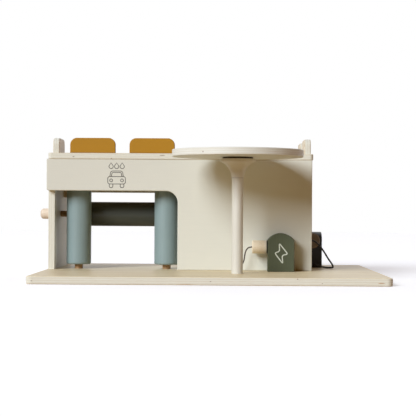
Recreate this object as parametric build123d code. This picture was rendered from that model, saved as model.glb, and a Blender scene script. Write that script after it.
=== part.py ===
from build123d import *
import math
import os

# Toy parking garage. Millimetres, +Z up, -Y towards the front.
# The origin is the centre of the base plate's underside.

# ---------------------------------------------------------------- base plate
BASE_W = 480.0
BASE_D = 430.0
BASE_T = 10.5
BASE_CORNER_R = 8.0
EDGE_EASE = 0.8              # small bevel on every board edge that a hand meets
APRON_FRONT = 202.0          # base in front of the house
BASE_BEHIND = 6.0            # base behind the house

# ---------------------------------------------------------------- house
BOARD_T = 9.0                # plywood of the house
HOUSE_W = 387.0              # front panel, end to end
WALL_H = 161.0               # walls and panels, under the deck
LEFT_WALL_INSET = 2.0        # the beam's end stands proud of the left wall
RIGHT_WALL_INSET = 8.0       # the panel's end stands proud of the right wall
PANEL_END_R = 3.0            # lower corner of the beam's free end

# ---------------------------------------------------------------- car wash
WASH_W = 180.5               # clear way through the front panel
WASH_H = 115.0
WASH_CORNER_R = 17.0
WASH_ROOM_W = 195.0          # left wall to middle wall
ROLLER_D = 36.5
ROLLER_EDGE_R = 3.0
ROLLER_END_GAP = 6.5         # roller to base, and roller to deck
ROLLER_BEHIND = 40.0         # standing rollers, behind the panel's face
ROLLER_LEFT_IN = 32.6        # left roller's axis from the left wall
ROLLER_RIGHT_IN = 32.0       # right roller's axis from the middle wall
SPINDLE_D = 12.0
SPINDLE_SOCKET = 5.0         # depth of the blind sockets in base and deck
TOP_ROLLER_BEHIND = 83.0
TOP_ROLLER_UP = 80.8         # axis above the base
TOP_ROLLER_END_GAP = 18.0
AXLE_D = 9.0
AXLE_SOCKET = 5.0            # blind socket in the middle wall
KNOB_D = 16.0
KNOB_LEN = 21.0
KNOB_NOSE_R = 5.0
KNOB_BORE = 14.0             # how far the axle goes into the knob

# ---------------------------------------------------------------- deck
DECK_OVER_FRONT = 0.5
DECK_OVER_RIGHT = 1.5
DECK_CORNER_R = 5.0
DECK_DOWEL_D = 6.0
DECK_DOWEL_LEN = 24.0
DECK_DOWEL_IN = 5.0          # how far a dowel goes into the deck
DECK_DOWEL_INSET = 30.0      # first and last dowel from a wall's ends

# ---------------------------------------------------------------- kerb boards on the deck
KERB_L = 66.0
KERB_H = 22.0
KERB_R = 10.0
KERB_DOWEL_D = 5.0
KERB_DOWEL_LEN = 14.0
KERB_DOWEL_PITCH = 36.0
BAY_PITCH = 86.6
BAY_LEFT_IN = 65.0           # first barrier's middle from the deck's left end
BAY_BACK = 2.0               # barriers from the deck's front edge
GUARD_BACK = 4.0             # guards from the panel's face
LEFT_GUARD_IN = 7.0          # left guard from the deck's left end
RIGHT_GUARD_IN = 3.5         # right guards from the deck's right end
REAR_GUARD_IN = 40.0         # right rear guard's rear end from the deck's back

# ---------------------------------------------------------------- helicopter pad
PAD_D = 182.0
PAD_T = 10.0
PAD_GAP = 1.2                # pad to deck
PAD_RISE = 1.3               # pad's top over the deck's top
PAD_IN = 277.5               # column's axis from the panel's left end
COLUMN_D = 15.8
COLUMN_TENON_D = 10.0
COLUMN_TENON_LEN = 6.0
CAPITAL_H = 26.5
CAPITAL_RIM_D = 50.0
CAPITAL_RIM_H = 4.3
CAPITAL_NECK_D = 16.8
PAD_WASHER_D = 42.0
PAD_WASHER_T = 2.3
PIVOT_D = 8.0
PIVOT_IN_PAD = 6.5
PIVOT_LEN = 50.0

# ---------------------------------------------------------------- charger and fuel pump
STAND_W = 38.0
STAND_T = 31.5
STAND_H = 55.0
STAND_ARC_R = 23.0
CHARGER_IN = 46.0            # charger's middle from the panel's right end
PUMP_BEHIND = 118.0          # pump's front side behind the panel's face
SOCKET_PLATE_T = 1.2
SOCKET_GAP = 0.3             # magnet faces, so that the plug can leave freely
PLUG_D = 19.0
PLUG_LEN = 17.5
COLLAR_LEN = 3.2
PLUG_UP = 35.0
PLUG_OUT = 15.0              # plug's axis in front of the panel
NOZZLE_D = 23.4
NOZZLE_LEN = 18.0
NOZZLE_UP = 42.0
NOZZLE_BEVEL = 2.0
PLUG_BEVEL = 1.0
MAGNET_D = 10.0
MAGNET_T = 3.0

# ---------------------------------------------------------------- cords
CORD_D = 2.0
HOSE_D = 2.6
CORD_HOLE_PLAY = 0.2
CORD_HOLE_DEEP = 5.0
HOSE_HOLE_IN = 11.0          # hose's hole from the pump's wall side
HOSE_HOLE_UP = 9.5
CORD_HOLE_OUT = 41.0         # charging cord's hole in the base, left of the charger

# ---------------------------------------------------------------- lift
DOOR_H = 84.0
DOOR_IN = 18.0               # the door's right side from the right wall
SLOT_IN = 42.0               # slot between the two rear boards, from the middle wall
LIFT_SLOT_W = 9.0
DOOR_FROM_SLOT = 14.0
LIFT_D = 84.0
LIFT_IN = 16.0               # the platform's right edge from the right wall
LIFT_LEFT_OF_SLOT = 9.0      # platform's left edge from the slot's left side
LIFT_OFF_REAR = 2.0          # platform from the rear boards
LIFT_PLAY = 1.5              # platform to the deck's cut-out
LIFT_REST_GAP = 0.3
LIFT_CORNER_R = 4.0
PLATE_W = 30.0
PLATE_H = 60.0
PLATE_R = 10.0
SLIDER_PLAY = 0.5            # each side of the slider in its slot
HANDLE_GAP = 0.8             # handle to the rear boards
LIFT_KNOB_D = 22.0
LIFT_KNOB_LEN = 18.0
LIFT_KNOB_STEM_D = 10.0
LIFT_KNOB_DOWN = 15.0        # knob's axis below the handle's top

# ---------------------------------------------------------------- cleats and fasteners
CLEAT_W = 18.0
CLEAT_H = 55.0
CLEAT_T = 9.0
CLEAT_BEHIND = 120.0         # cleats' front edge behind the panel's face
RIGHT_CLEAT_BEHIND = 62.0
SCREW_D = 3.5
SCREW_HEAD_D = 7.0
SCREW_HEAD_H = 2.0
BASE_SCREW_LEN = 28.0
CLEAT_SCREW_LEN = 15.0
SCREW_END_INSET = 25.0       # first and last base screw from a wall's ends
SCREW_SINK = 0.3
FIT = 0.05                   # radial play of a running shaft
HOLE_PLAY = 0.05             # radial play round dowels and screws

# ---------------------------------------------------------------- worked-out places
BASE_TOP = BASE_T
FACE_Y = -BASE_D / 2 + APRON_FRONT                    # front panel's face
BACK_Y = BASE_D / 2 - BASE_BEHIND                     # rear boards' outer face
INNER_FRONT_Y = FACE_Y + BOARD_T
INNER_BACK_Y = BACK_Y - BOARD_T
WALL_TOP = BASE_TOP + WALL_H
DECK_TOP = WALL_TOP + BOARD_T
LEFT_X = -BASE_W / 2
RIGHT_X = LEFT_X + HOUSE_W
LEFT_WALL_X = LEFT_X + LEFT_WALL_INSET
LEFT_INNER_X = LEFT_WALL_X + BOARD_T
MIDDLE_WALL_X = LEFT_INNER_X + WASH_ROOM_W
RIGHT_WALL_X = RIGHT_X - RIGHT_WALL_INSET - BOARD_T
RIGHT_OUTER_X = RIGHT_WALL_X + BOARD_T
WASH_RIGHT_X = LEFT_INNER_X + WASH_W
WASH_TOP = BASE_TOP + WASH_H
DECK_LEFT = LEFT_WALL_X
DECK_RIGHT = RIGHT_X + DECK_OVER_RIGHT
DECK_FRONT = FACE_Y - DECK_OVER_FRONT
LIFT_SLOT_X = MIDDLE_WALL_X + BOARD_T + SLOT_IN
SLOT_RIGHT_X = LIFT_SLOT_X + LIFT_SLOT_W
DOOR_X = SLOT_RIGHT_X + DOOR_FROM_SLOT
DOOR_W = RIGHT_WALL_X - DOOR_IN - DOOR_X
LIFT_X = LIFT_SLOT_X - LIFT_LEFT_OF_SLOT
LIFT_W = RIGHT_WALL_X - LIFT_IN - LIFT_X
LIFT_BACK_Y = INNER_BACK_Y - LIFT_OFF_REAR
LIFT_Z = BASE_TOP + LIFT_REST_GAP
LIFT_TRAVEL = DECK_TOP - (LIFT_Z + BOARD_T)
SLOT_MID_X = LIFT_SLOT_X + LIFT_SLOT_W / 2
HANDLE_Y = BACK_Y + HANDLE_GAP
PAD_X = LEFT_X + PAD_IN
PAD_Y = DECK_FRONT - PAD_GAP - PAD_D / 2
PAD_BOTTOM = DECK_TOP + PAD_RISE - PAD_T
CAPITAL_TOP = PAD_BOTTOM - PAD_WASHER_T - FIT
COLUMN_TOP = CAPITAL_TOP - CAPITAL_H
CHARGER_X = RIGHT_X - CHARGER_IN
CHARGER_LEFT_X = CHARGER_X - STAND_W / 2
CORD_IN_X = CHARGER_LEFT_X - CORD_HOLE_OUT
PLUG_Y = FACE_Y - PLUG_OUT
PLUG_Z = BASE_TOP + PLUG_UP
PLUG_FACE_X = CHARGER_LEFT_X - SOCKET_PLATE_T - SOCKET_GAP
PUMP_Y = FACE_Y + PUMP_BEHIND
HOSE_IN_X = RIGHT_OUTER_X + HOSE_HOLE_IN
NOZZLE_X = RIGHT_OUTER_X + STAND_T / 2
NOZZLE_Z = BASE_TOP + NOZZLE_UP
NOZZLE_FACE_Y = PUMP_Y - SOCKET_PLATE_T - SOCKET_GAP
TOP_ROLLER_Y = FACE_Y + TOP_ROLLER_BEHIND
TOP_ROLLER_Z = BASE_TOP + TOP_ROLLER_UP
ROLLER_Y = FACE_Y + ROLLER_BEHIND
ROLLER_XS = {"left": LEFT_INNER_X + ROLLER_LEFT_IN, "right": MIDDLE_WALL_X - ROLLER_RIGHT_IN}

# Cords: hand-chosen points, X, Y and height over the base plate's top. The charging cord's
# are laid out from the charger's left side, the hose's from the pump's near corner at the wall.
CHARGING_CORD_ROUTE = [
    (CORD_IN_X, PLUG_Y, -CORD_HOLE_DEEP + CORD_HOLE_PLAY),
    (CORD_IN_X, PLUG_Y, 3.5),
    (CHARGER_LEFT_X - 33.6, PLUG_Y, 14.0),
    (CHARGER_LEFT_X - 32.6, PLUG_Y, 25.0),
    (CHARGER_LEFT_X - 30.4, PLUG_Y, 31.2),
    (CHARGER_LEFT_X - 26.4, PLUG_Y, PLUG_UP - 0.1),
    (CHARGER_LEFT_X - 18.0, PLUG_Y, PLUG_UP),
]
FUEL_HOSE_ROUTE = [
    (HOSE_IN_X, PUMP_Y + CORD_HOLE_DEEP - CORD_HOLE_PLAY, HOSE_HOLE_UP),
    (HOSE_IN_X, PUMP_Y - 6.0, HOSE_HOLE_UP),
    (RIGHT_OUTER_X + 17.5, PUMP_Y - 11.5, 6.3),
    (RIGHT_OUTER_X + 26.0, PUMP_Y - 17.0, 2.8),
    (RIGHT_OUTER_X + 35.0, PUMP_Y - 26.0, 1.5),
    (RIGHT_OUTER_X + 41.3, PUMP_Y - 32.0, 1.5),
    (RIGHT_OUTER_X + 46.4, PUMP_Y - 38.0, 2.0),
    (RIGHT_OUTER_X + 44.2, PUMP_Y - 40.6, 6.8),
    (RIGHT_OUTER_X + 38.0, PUMP_Y - 39.8, 15.2),
    (RIGHT_OUTER_X + 31.8, PUMP_Y - 38.7, 26.0),
    (RIGHT_OUTER_X + 24.2, PUMP_Y - 36.7, 36.2),
    (RIGHT_OUTER_X + 17.5, PUMP_Y - 31.5, NOZZLE_UP - 0.1),
    (NOZZLE_X, PUMP_Y - 23.7, NOZZLE_UP),
    (NOZZLE_X, PUMP_Y - 16.5, NOZZLE_UP),
]


# ---------------------------------------------------------------- shared forms
def span(x0, x1, y0, y1):
    """A rectangle from corner to corner."""
    return Pos((x0 + x1) / 2, (y0 + y1) / 2) * Rectangle(x1 - x0, y1 - y0)


def flat_board(sketch, z_low, thickness):
    """A board that lies flat on z_low."""
    return Pos(0, 0, z_low) * extrude(sketch, thickness)


def cross_board(sketch, y_front, thickness):
    """A board that stands across the width: the sketch's x is X and its y is Z."""
    return Pos(0, y_front + thickness, 0) * Rot(90, 0, 0) * extrude(sketch, thickness)


def side_board(sketch, x_left, thickness):
    """A board that stands along the depth: the sketch's x is Y and its y is Z."""
    return Pos(x_left, 0, 0) * (Plane.YZ * extrude(sketch, thickness))


def rod_x(radius, x0, x1, y, z):
    """A cylinder along X."""
    return Pos((x0 + x1) / 2, y, z) * Rot(0, 90, 0) * Cylinder(radius, x1 - x0)


def rod_y(radius, y0, y1, x, z):
    """A cylinder along Y."""
    return Pos(x, (y0 + y1) / 2, z) * Rot(90, 0, 0) * Cylinder(radius, y1 - y0)


def rod_z(radius, z0, z1, x, y):
    """A cylinder along Z."""
    return Pos(x, y, (z0 + z1) / 2) * Cylinder(radius, z1 - z0)


def ease_faces(board, axis, size=EDGE_EASE):
    """Bevels the outlines of the board's two broad faces, which are square to axis."""
    faces = board.faces().filter_by(axis).sort_by(axis)
    return chamfer(faces[0].edges() + faces[-1].edges(), size)


def ease_end(turned, axis, size, last=True):
    """Bevels the rim of a turned piece's last or first end face."""
    face = turned.faces().filter_by(axis).sort_by(axis)[-1 if last else 0]
    return chamfer(face.edges().filter_by(GeomType.CIRCLE).sort_by(SortBy.RADIUS)[-1:], size)


def rounded_top(length, height, radius):
    """An upright outline with two round top corners; its foot is centred on the origin."""
    outline = Pos(0, height / 2) * Rectangle(length, height)
    return fillet(outline.vertices().group_by(Axis.Y)[-1], radius)


def arched_outline(width, height, radius):
    """An upright outline whose top is one arc from side to side."""
    spring = height - (radius - math.sqrt(radius**2 - (width / 2) ** 2))
    left, right = (-width / 2, spring), (width / 2, spring)
    rim = Polyline(left, (-width / 2, 0), (width / 2, 0), right)
    return make_face(Curve() + [rim, ThreePointArc(right, (0, height), left)])


def screw(length, play=0.0):
    """A countersunk wood screw, head down at the origin, pointing up. With play it is its hole."""
    wide, thin = SCREW_HEAD_D / 2 + play, SCREW_D / 2 + play
    head = Cone(wide, thin, SCREW_HEAD_H, align=(Align.CENTER, Align.CENTER, Align.MIN))
    shank = Pos(0, 0, length / 2) * Cylinder(SCREW_D / 2 + play, length)
    if play:
        mouth = Pos(0, 0, -SCREW_SINK / 2) * Cylinder(SCREW_HEAD_D / 2 + play, SCREW_SINK)
        return head + shank + mouth
    drive = Box(SCREW_HEAD_D * 0.6, 0.9, 2 * 1.1) + Box(0.9, SCREW_HEAD_D * 0.6, 2 * 1.1)
    return head + shank - drive


def each_at(places, make):
    """One copy of a solid at every place."""
    return [place * make for place in places]


def group(solids):
    """Separate solids in one node."""
    return Compound(children=[s if isinstance(s, Solid) else s.solid() for s in solids])


# ---------------------------------------------------------------- places of fasteners
def wall_rows():
    """Plan middle line of each standing board: start and end."""
    half = BOARD_T / 2
    walls = [LEFT_WALL_X, MIDDLE_WALL_X, RIGHT_WALL_X]
    return [((x + half, INNER_FRONT_Y), (x + half, INNER_BACK_Y)) for x in walls]


def row_ends(inset):
    """Two places on each wall's middle line, inset from its ends."""
    return [(x, y) for (x, y0), (_, y1) in wall_rows() for y in (y0 + inset, y1 - inset)]


def base_screw_spots():
    """Screws that come up through the base plate into what stands on it."""
    panel_y = FACE_Y + BOARD_T / 2
    rear_y = BACK_Y - BOARD_T / 2
    panel = [(x, panel_y) for x in (WASH_RIGHT_X + SCREW_END_INSET, RIGHT_X - SCREW_END_INSET)]
    rear = [(WASH_RIGHT_X + SCREW_END_INSET, rear_y), (RIGHT_X - SCREW_END_INSET / 2, rear_y)]
    stands = [(CHARGER_X, FACE_Y - STAND_T / 2), (NOZZLE_X, PUMP_Y + STAND_W / 2)]
    return row_ends(SCREW_END_INSET) + panel + rear + stands


def base_screw_places():
    return [Pos(x, y, SCREW_SINK) for x, y in base_screw_spots()]


def deck_dowel_solid(x, y, play=0.0):
    low = WALL_TOP + DECK_DOWEL_IN - DECK_DOWEL_LEN
    return rod_z(DECK_DOWEL_D / 2 + play, low - play, WALL_TOP + DECK_DOWEL_IN + play, x, y)


def deck_dowel_solids(play=0.0):
    return [deck_dowel_solid(x, y, play) for x, y in row_ends(DECK_DOWEL_INSET)]


def kerb_places():
    """Name, plan middle and direction of each kerb board on the deck."""
    bay_x = DECK_LEFT + BAY_LEFT_IN
    bay_y = DECK_FRONT + BAY_BACK + BOARD_T / 2
    guard_y = FACE_Y + GUARD_BACK + KERB_L / 2
    right_x = DECK_RIGHT - RIGHT_GUARD_IN - BOARD_T / 2
    rear_y = BACK_Y - REAR_GUARD_IN - KERB_L / 2
    return {
        "bay_barrier_left": (bay_x, bay_y, 0),
        "bay_barrier_right": (bay_x + BAY_PITCH, bay_y, 0),
        "left_guard": (DECK_LEFT + LEFT_GUARD_IN + BOARD_T / 2, guard_y, 90),
        "right_front_guard": (right_x, guard_y, 90),
        "right_rear_guard": (right_x, rear_y, 90),
    }


def kerb_dowel_solids(play=0.0):
    """Two dowels under each kerb board, half in the board and half in the deck."""
    low, high = DECK_TOP - KERB_DOWEL_LEN / 2 - play, DECK_TOP + KERB_DOWEL_LEN / 2 + play
    solids = []
    for x, y, turn in kerb_places().values():
        for side in (-0.5, 0.5):
            along = side * KERB_DOWEL_PITCH
            dx, dy = (along, 0) if turn == 0 else (0, along)
            solids.append(rod_z(KERB_DOWEL_D / 2 + play, low, high, x + dx, y + dy))
    return solids


def cleat_places():
    """Left side, front edge and the side that faces its wall, for each cleat."""
    y = FACE_Y + CLEAT_BEHIND
    return [
        (LEFT_INNER_X, y, -1),
        (MIDDLE_WALL_X - CLEAT_T, y, 1),
        (MIDDLE_WALL_X + BOARD_T, FACE_Y + RIGHT_CLEAT_BEHIND, -1),
        (RIGHT_WALL_X - CLEAT_T, FACE_Y + RIGHT_CLEAT_BEHIND, 1),
    ]


def cleat_screw_solids(play=0.0):
    """Two screws through each cleat into its wall."""
    solids = []
    for x, y, toward in cleat_places():
        open_side = x if toward > 0 else x + CLEAT_T
        for up in (0.25, 0.75):
            place = Pos(open_side + toward * SCREW_SINK, y + CLEAT_W / 2, WALL_TOP - up * CLEAT_H)
            solids.append(place * Rot(0, 90 * toward, 0) * screw(CLEAT_SCREW_LEN, play))
    return solids


# ---------------------------------------------------------------- base and house
def base_plate():
    outline = fillet(Rectangle(BASE_W, BASE_D).vertices(), BASE_CORNER_R)
    plate = ease_faces(flat_board(outline, 0, BASE_T), Axis.Z)
    for x in ROLLER_XS.values():
        plate -= rod_z(SPINDLE_D / 2 + FIT, BASE_TOP - SPINDLE_SOCKET, BASE_TOP + 1, x, ROLLER_Y)
    tenon = COLUMN_TENON_D / 2 + HOLE_PLAY
    plate -= rod_z(tenon, BASE_TOP - COLUMN_TENON_LEN - HOLE_PLAY, BASE_TOP + 1, PAD_X, PAD_Y)
    cord_hole = CORD_D / 2 + CORD_HOLE_PLAY
    plate -= rod_z(cord_hole, BASE_TOP - CORD_HOLE_DEEP, BASE_TOP + 1, CORD_IN_X, PLUG_Y)
    for hole in each_at(base_screw_places(), screw(BASE_SCREW_LEN, HOLE_PLAY)):
        plate -= hole
    return plate


def cut_base_screws(board):
    """Pilot holes for the screws that come up through the base plate."""
    for hole in each_at(base_screw_places(), screw(BASE_SCREW_LEN, HOLE_PLAY)):
        board -= hole
    return board


def cut_deck_dowels(board):
    for hole in deck_dowel_solids(HOLE_PLAY):
        board -= hole
    return board


def wash_cut(corner_r):
    """The wash's way through a panel, open at the left wall, with one round corner."""
    way = span(LEFT_X - 1, WASH_RIGHT_X, BASE_TOP - 1, WASH_TOP)
    corner = way.vertices().group_by(Axis.Y)[-1].sort_by(Axis.X)[-1]
    return fillet([corner], corner_r)


def front_panel():
    sheet = span(LEFT_X, RIGHT_X, BASE_TOP, WALL_TOP) - wash_cut(WASH_CORNER_R)
    free_end = sheet.vertices().group_by(Axis.X)[0].sort_by(Axis.Y)[0]
    sheet = fillet([free_end], PANEL_END_R)
    panel = ease_faces(cross_board(sheet, FACE_Y, BOARD_T), Axis.Y)
    return cut_base_screws(panel)


def rear_panel():
    sheet = span(LEFT_X, LIFT_SLOT_X, BASE_TOP, WALL_TOP) - wash_cut(WASH_CORNER_R)
    free_end = sheet.vertices().group_by(Axis.X)[0].sort_by(Axis.Y)[0]
    sheet = fillet([free_end], PANEL_END_R)
    panel = ease_faces(cross_board(sheet, INNER_BACK_Y, BOARD_T), Axis.Y)
    return cut_base_screws(panel)


def rear_lift_panel():
    door = span(DOOR_X, DOOR_X + DOOR_W, BASE_TOP - 1, BASE_TOP + DOOR_H)
    door = fillet(door.vertices().group_by(Axis.Y)[-1], WASH_CORNER_R)
    sheet = span(SLOT_RIGHT_X, RIGHT_X, BASE_TOP, WALL_TOP) - door
    panel = ease_faces(cross_board(sheet, INNER_BACK_Y, BOARD_T), Axis.Y)
    return cut_base_screws(panel)


def house_wall(x_left):
    """A wall along the depth, from the front panel to the rear boards."""
    sheet = span(INNER_FRONT_Y, INNER_BACK_Y, BASE_TOP, WALL_TOP)
    wall = side_board(sheet, x_left, BOARD_T)
    wall = cut_deck_dowels(cut_base_screws(wall))
    for hole in cleat_screw_solids(HOLE_PLAY):
        wall -= hole
    return wall


def left_wall():
    wall = house_wall(LEFT_WALL_X)
    return wall - rod_x(AXLE_D / 2 + FIT, LEFT_WALL_X - 1, LEFT_INNER_X + 1, TOP_ROLLER_Y, TOP_ROLLER_Z)


def middle_wall():
    wall = house_wall(MIDDLE_WALL_X)
    socket = MIDDLE_WALL_X + AXLE_SOCKET
    return wall - rod_x(AXLE_D / 2 + FIT, MIDDLE_WALL_X - 1, socket, TOP_ROLLER_Y, TOP_ROLLER_Z)


def right_wall():
    return house_wall(RIGHT_WALL_X)


def roof_deck():
    sheet = fillet(span(DECK_LEFT, DECK_RIGHT, DECK_FRONT, BACK_Y).vertices(), DECK_CORNER_R)
    deck = ease_faces(flat_board(sheet, WALL_TOP, BOARD_T), Axis.Z)
    shaft = span(
        LIFT_X - LIFT_PLAY,
        LIFT_X + LIFT_W + LIFT_PLAY,
        LIFT_BACK_Y - LIFT_D - LIFT_PLAY,
        LIFT_BACK_Y + LIFT_PLAY,
    )
    shaft = fillet(shaft.vertices(), LIFT_CORNER_R)
    notch = span(LIFT_SLOT_X, SLOT_RIGHT_X, LIFT_BACK_Y, BACK_Y + 1)
    deck -= flat_board(shaft + notch, WALL_TOP - 1, BOARD_T + 2)
    for x in ROLLER_XS.values():
        deck -= rod_z(SPINDLE_D / 2 + FIT, WALL_TOP - 1, WALL_TOP + SPINDLE_SOCKET, x, ROLLER_Y)
    for hole in deck_dowel_solids(HOLE_PLAY) + kerb_dowel_solids(HOLE_PLAY):
        deck -= hole
    return deck


def deck_cleats():
    """Upright battens that tie the walls to the deck from inside."""
    cleats = []
    for x, y, _ in cleat_places():
        foot = WALL_TOP - CLEAT_H
        cleat = Pos(x + CLEAT_T / 2, y + CLEAT_W / 2, foot + CLEAT_H / 2) * Box(CLEAT_T, CLEAT_W, CLEAT_H)
        low_rim = cleat.faces().sort_by(Axis.Z)[0].edges()
        cleat = chamfer(low_rim, EDGE_EASE)
        for hole in cleat_screw_solids(HOLE_PLAY):
            cleat -= hole
        cleats.append(cleat)
    return group(cleats)


# ---------------------------------------------------------------- kerb boards
def kerb_board(x, y, turn):
    """A board with round top corners that stands on the deck: a bay barrier or a guard."""
    outline = rounded_top(KERB_L, KERB_H, KERB_R)
    board = cross_board(outline, -BOARD_T / 2, BOARD_T)
    board = ease_faces(board, Axis.Y)
    board = Pos(x, y, DECK_TOP) * Rot(0, 0, turn) * board
    for hole in kerb_dowel_solids(HOLE_PLAY):
        board -= hole
    return board


# ---------------------------------------------------------------- helicopter pad
def helipad_disc():
    disc = rod_z(PAD_D / 2, PAD_BOTTOM, PAD_BOTTOM + PAD_T, PAD_X, PAD_Y)
    disc = chamfer(disc.edges().filter_by(GeomType.CIRCLE), EDGE_EASE)
    return disc - rod_z(PIVOT_D / 2 + FIT, PAD_BOTTOM - 1, PAD_BOTTOM + PIVOT_IN_PAD, PAD_X, PAD_Y)


def helipad_capital():
    """A turned flare, from a thin rim down to the column's neck."""
    rim, neck = CAPITAL_RIM_D / 2, CAPITAL_NECK_D / 2
    low_z, rim_z = COLUMN_TOP, CAPITAL_TOP - CAPITAL_RIM_H
    rise = rim_z - low_z
    out = rim - EDGE_EASE - neck
    radius = (out**2 + rise**2) / (2 * out)
    mid_angle = math.asin(rise / radius) / 2
    mid = (neck + radius * (1 - math.cos(mid_angle)), low_z + radius * math.sin(mid_angle))
    flare = ThreePointArc((neck, low_z), mid, (rim - EDGE_EASE, rim_z))
    rest = Polyline(
        (rim - EDGE_EASE, rim_z),
        (rim, rim_z + EDGE_EASE),
        (rim, CAPITAL_TOP - EDGE_EASE),
        (rim - EDGE_EASE, CAPITAL_TOP),
        (0, CAPITAL_TOP),
        (0, low_z),
        (neck, low_z),
    )
    profile = make_face(Curve() + [flare, rest])
    turned = revolve(Plane.XZ * profile, Axis.Z)
    bore = rod_z(PIVOT_D / 2 + HOLE_PLAY, low_z - 1, CAPITAL_TOP + 1, 0, 0)
    return Pos(PAD_X, PAD_Y, 0) * (turned - bore)


def helipad_washer():
    ring = Circle(PAD_WASHER_D / 2) - Circle(PIVOT_D / 2 + HOLE_PLAY)
    return Pos(PAD_X, PAD_Y, 0) * flat_board(ring, CAPITAL_TOP, PAD_WASHER_T)


def pivot_z():
    """Low and high end of the pivot dowel."""
    high = PAD_BOTTOM + PIVOT_IN_PAD - HOLE_PLAY
    return high - PIVOT_LEN, high


def helipad_pivot():
    low, high = pivot_z()
    return rod_z(PIVOT_D / 2, low, high, PAD_X, PAD_Y)


def helipad_column():
    shaft = rod_z(COLUMN_D / 2, BASE_TOP, COLUMN_TOP, PAD_X, PAD_Y)
    tenon = rod_z(COLUMN_TENON_D / 2, BASE_TOP - COLUMN_TENON_LEN, BASE_TOP + 1, PAD_X, PAD_Y)
    low, _ = pivot_z()
    return shaft + tenon - rod_z(PIVOT_D / 2 + HOLE_PLAY, low - HOLE_PLAY, COLUMN_TOP + 1, PAD_X, PAD_Y)


# ---------------------------------------------------------------- charger
def stand_block():
    """The arched block that both the charger and the pump are made from; its front faces -Y."""
    block = cross_board(arched_outline(STAND_W, STAND_H, STAND_ARC_R), 0, STAND_T)
    return ease_faces(block, Axis.Y)


def charging_post():
    post = Pos(CHARGER_X, FACE_Y - STAND_T, BASE_TOP) * stand_block()
    post -= magnet_x(CHARGER_LEFT_X, 1, HOLE_PLAY)
    return cut_base_screws(post)


def magnet_x(face_x, into, play=0.0):
    """A magnet disc set flush into a face that is square to X."""
    ends = sorted((face_x, face_x + into * MAGNET_T))
    return rod_x(MAGNET_D / 2 + play, ends[0], ends[1], PLUG_Y, PLUG_Z)


def magnet_y(face_y, into, play=0.0):
    """A magnet disc set flush into a face that is square to Y."""
    ends = sorted((face_y, face_y + into * MAGNET_T))
    return rod_y(MAGNET_D / 2 + play, ends[0], ends[1], NOZZLE_X, NOZZLE_Z)


def charger_magnet():
    return magnet_x(CHARGER_LEFT_X, 1)


def charger_socket():
    """The round steel plate that the plug's face meets."""
    return rod_x(PLUG_D / 2, CHARGER_LEFT_X - SOCKET_PLATE_T, CHARGER_LEFT_X, PLUG_Y, PLUG_Z)


def charging_plug():
    left = PLUG_FACE_X - COLLAR_LEN - PLUG_LEN
    plug = rod_x(PLUG_D / 2, left, PLUG_FACE_X - COLLAR_LEN, PLUG_Y, PLUG_Z)
    plug = ease_end(plug, Axis.X, PLUG_BEVEL, last=False)
    reach = CHARGING_CORD_ROUTE[-1][0] + CORD_HOLE_PLAY
    return plug - rod_x(CORD_D / 2 + CORD_HOLE_PLAY, left - 1, reach, PLUG_Y, PLUG_Z)


def plug_collar():
    """The lighter ring at the plug's mating end, which holds its magnet."""
    collar = rod_x(PLUG_D / 2, PLUG_FACE_X - COLLAR_LEN, PLUG_FACE_X, PLUG_Y, PLUG_Z)
    collar = ease_end(collar, Axis.X, EDGE_EASE / 2)
    return collar - magnet_x(PLUG_FACE_X, -1, HOLE_PLAY)


def plug_magnet():
    return magnet_x(PLUG_FACE_X, -1)


# ---------------------------------------------------------------- fuel pump
def fuel_pump():
    block = Rot(0, 0, 90) * (Pos(0, -STAND_T, 0) * stand_block())
    pump = Pos(RIGHT_OUTER_X, PUMP_Y + STAND_W / 2, BASE_TOP) * block
    pump -= magnet_y(PUMP_Y, 1, HOLE_PLAY)
    hole = HOSE_D / 2 + CORD_HOLE_PLAY
    pump -= rod_y(hole, PUMP_Y - 1, PUMP_Y + CORD_HOLE_DEEP, HOSE_IN_X, BASE_TOP + HOSE_HOLE_UP)
    return cut_base_screws(pump)


def pump_magnet():
    return magnet_y(PUMP_Y, 1)


def pump_socket():
    """The round steel plate that the nozzle's face meets."""
    return rod_y(NOZZLE_D / 2 - NOZZLE_BEVEL, PUMP_Y - SOCKET_PLATE_T, PUMP_Y, NOZZLE_X, NOZZLE_Z)


def fuel_nozzle():
    near = NOZZLE_FACE_Y - NOZZLE_LEN
    nozzle = rod_y(NOZZLE_D / 2, near, NOZZLE_FACE_Y, NOZZLE_X, NOZZLE_Z)
    nozzle = ease_end(nozzle, Axis.Y, NOZZLE_BEVEL, last=False)
    nozzle = ease_end(nozzle, Axis.Y, EDGE_EASE)
    reach = FUEL_HOSE_ROUTE[-1][1] + CORD_HOLE_PLAY
    nozzle -= rod_y(HOSE_D / 2 + CORD_HOLE_PLAY, near - 1, reach, NOZZLE_X, NOZZLE_Z)
    return nozzle - magnet_y(NOZZLE_FACE_Y, -1, HOLE_PLAY)


def nozzle_magnet():
    return magnet_y(NOZZLE_FACE_Y, -1)


# ---------------------------------------------------------------- cords
def corner_radii(points):
    """The largest tangent arc at each corner: 0.45 of the shorter run over tan of half the turn."""
    radii = []
    for a, b, c in zip(points, points[1:], points[2:]):
        turn = math.radians((b - a).get_angle(c - b))
        radii.append(0.45 * min((b - a).length, (c - b).length) / math.tan(turn / 2))
    return radii


def cord_tube(name, route, diameter):
    """A round tube along straight runs joined by tangent arcs."""
    points = [Vector(x, y, BASE_TOP + up) for x, y, up in route]
    radii = corner_radii(points)
    path = FilletPolyline(*points, radius=radii)
    start = Plane(origin=points[0], z_dir=points[1] - points[0])
    tube = sweep(start * Circle(diameter / 2), path=path)
    share = tube.volume / (math.pi * diameter**2 / 4 * path.length)
    rounded = [round(r, 1) for r in radii]
    print(name, "length", round(path.length, 1), "radii", rounded, "volume", round(share, 4))
    return tube


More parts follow.
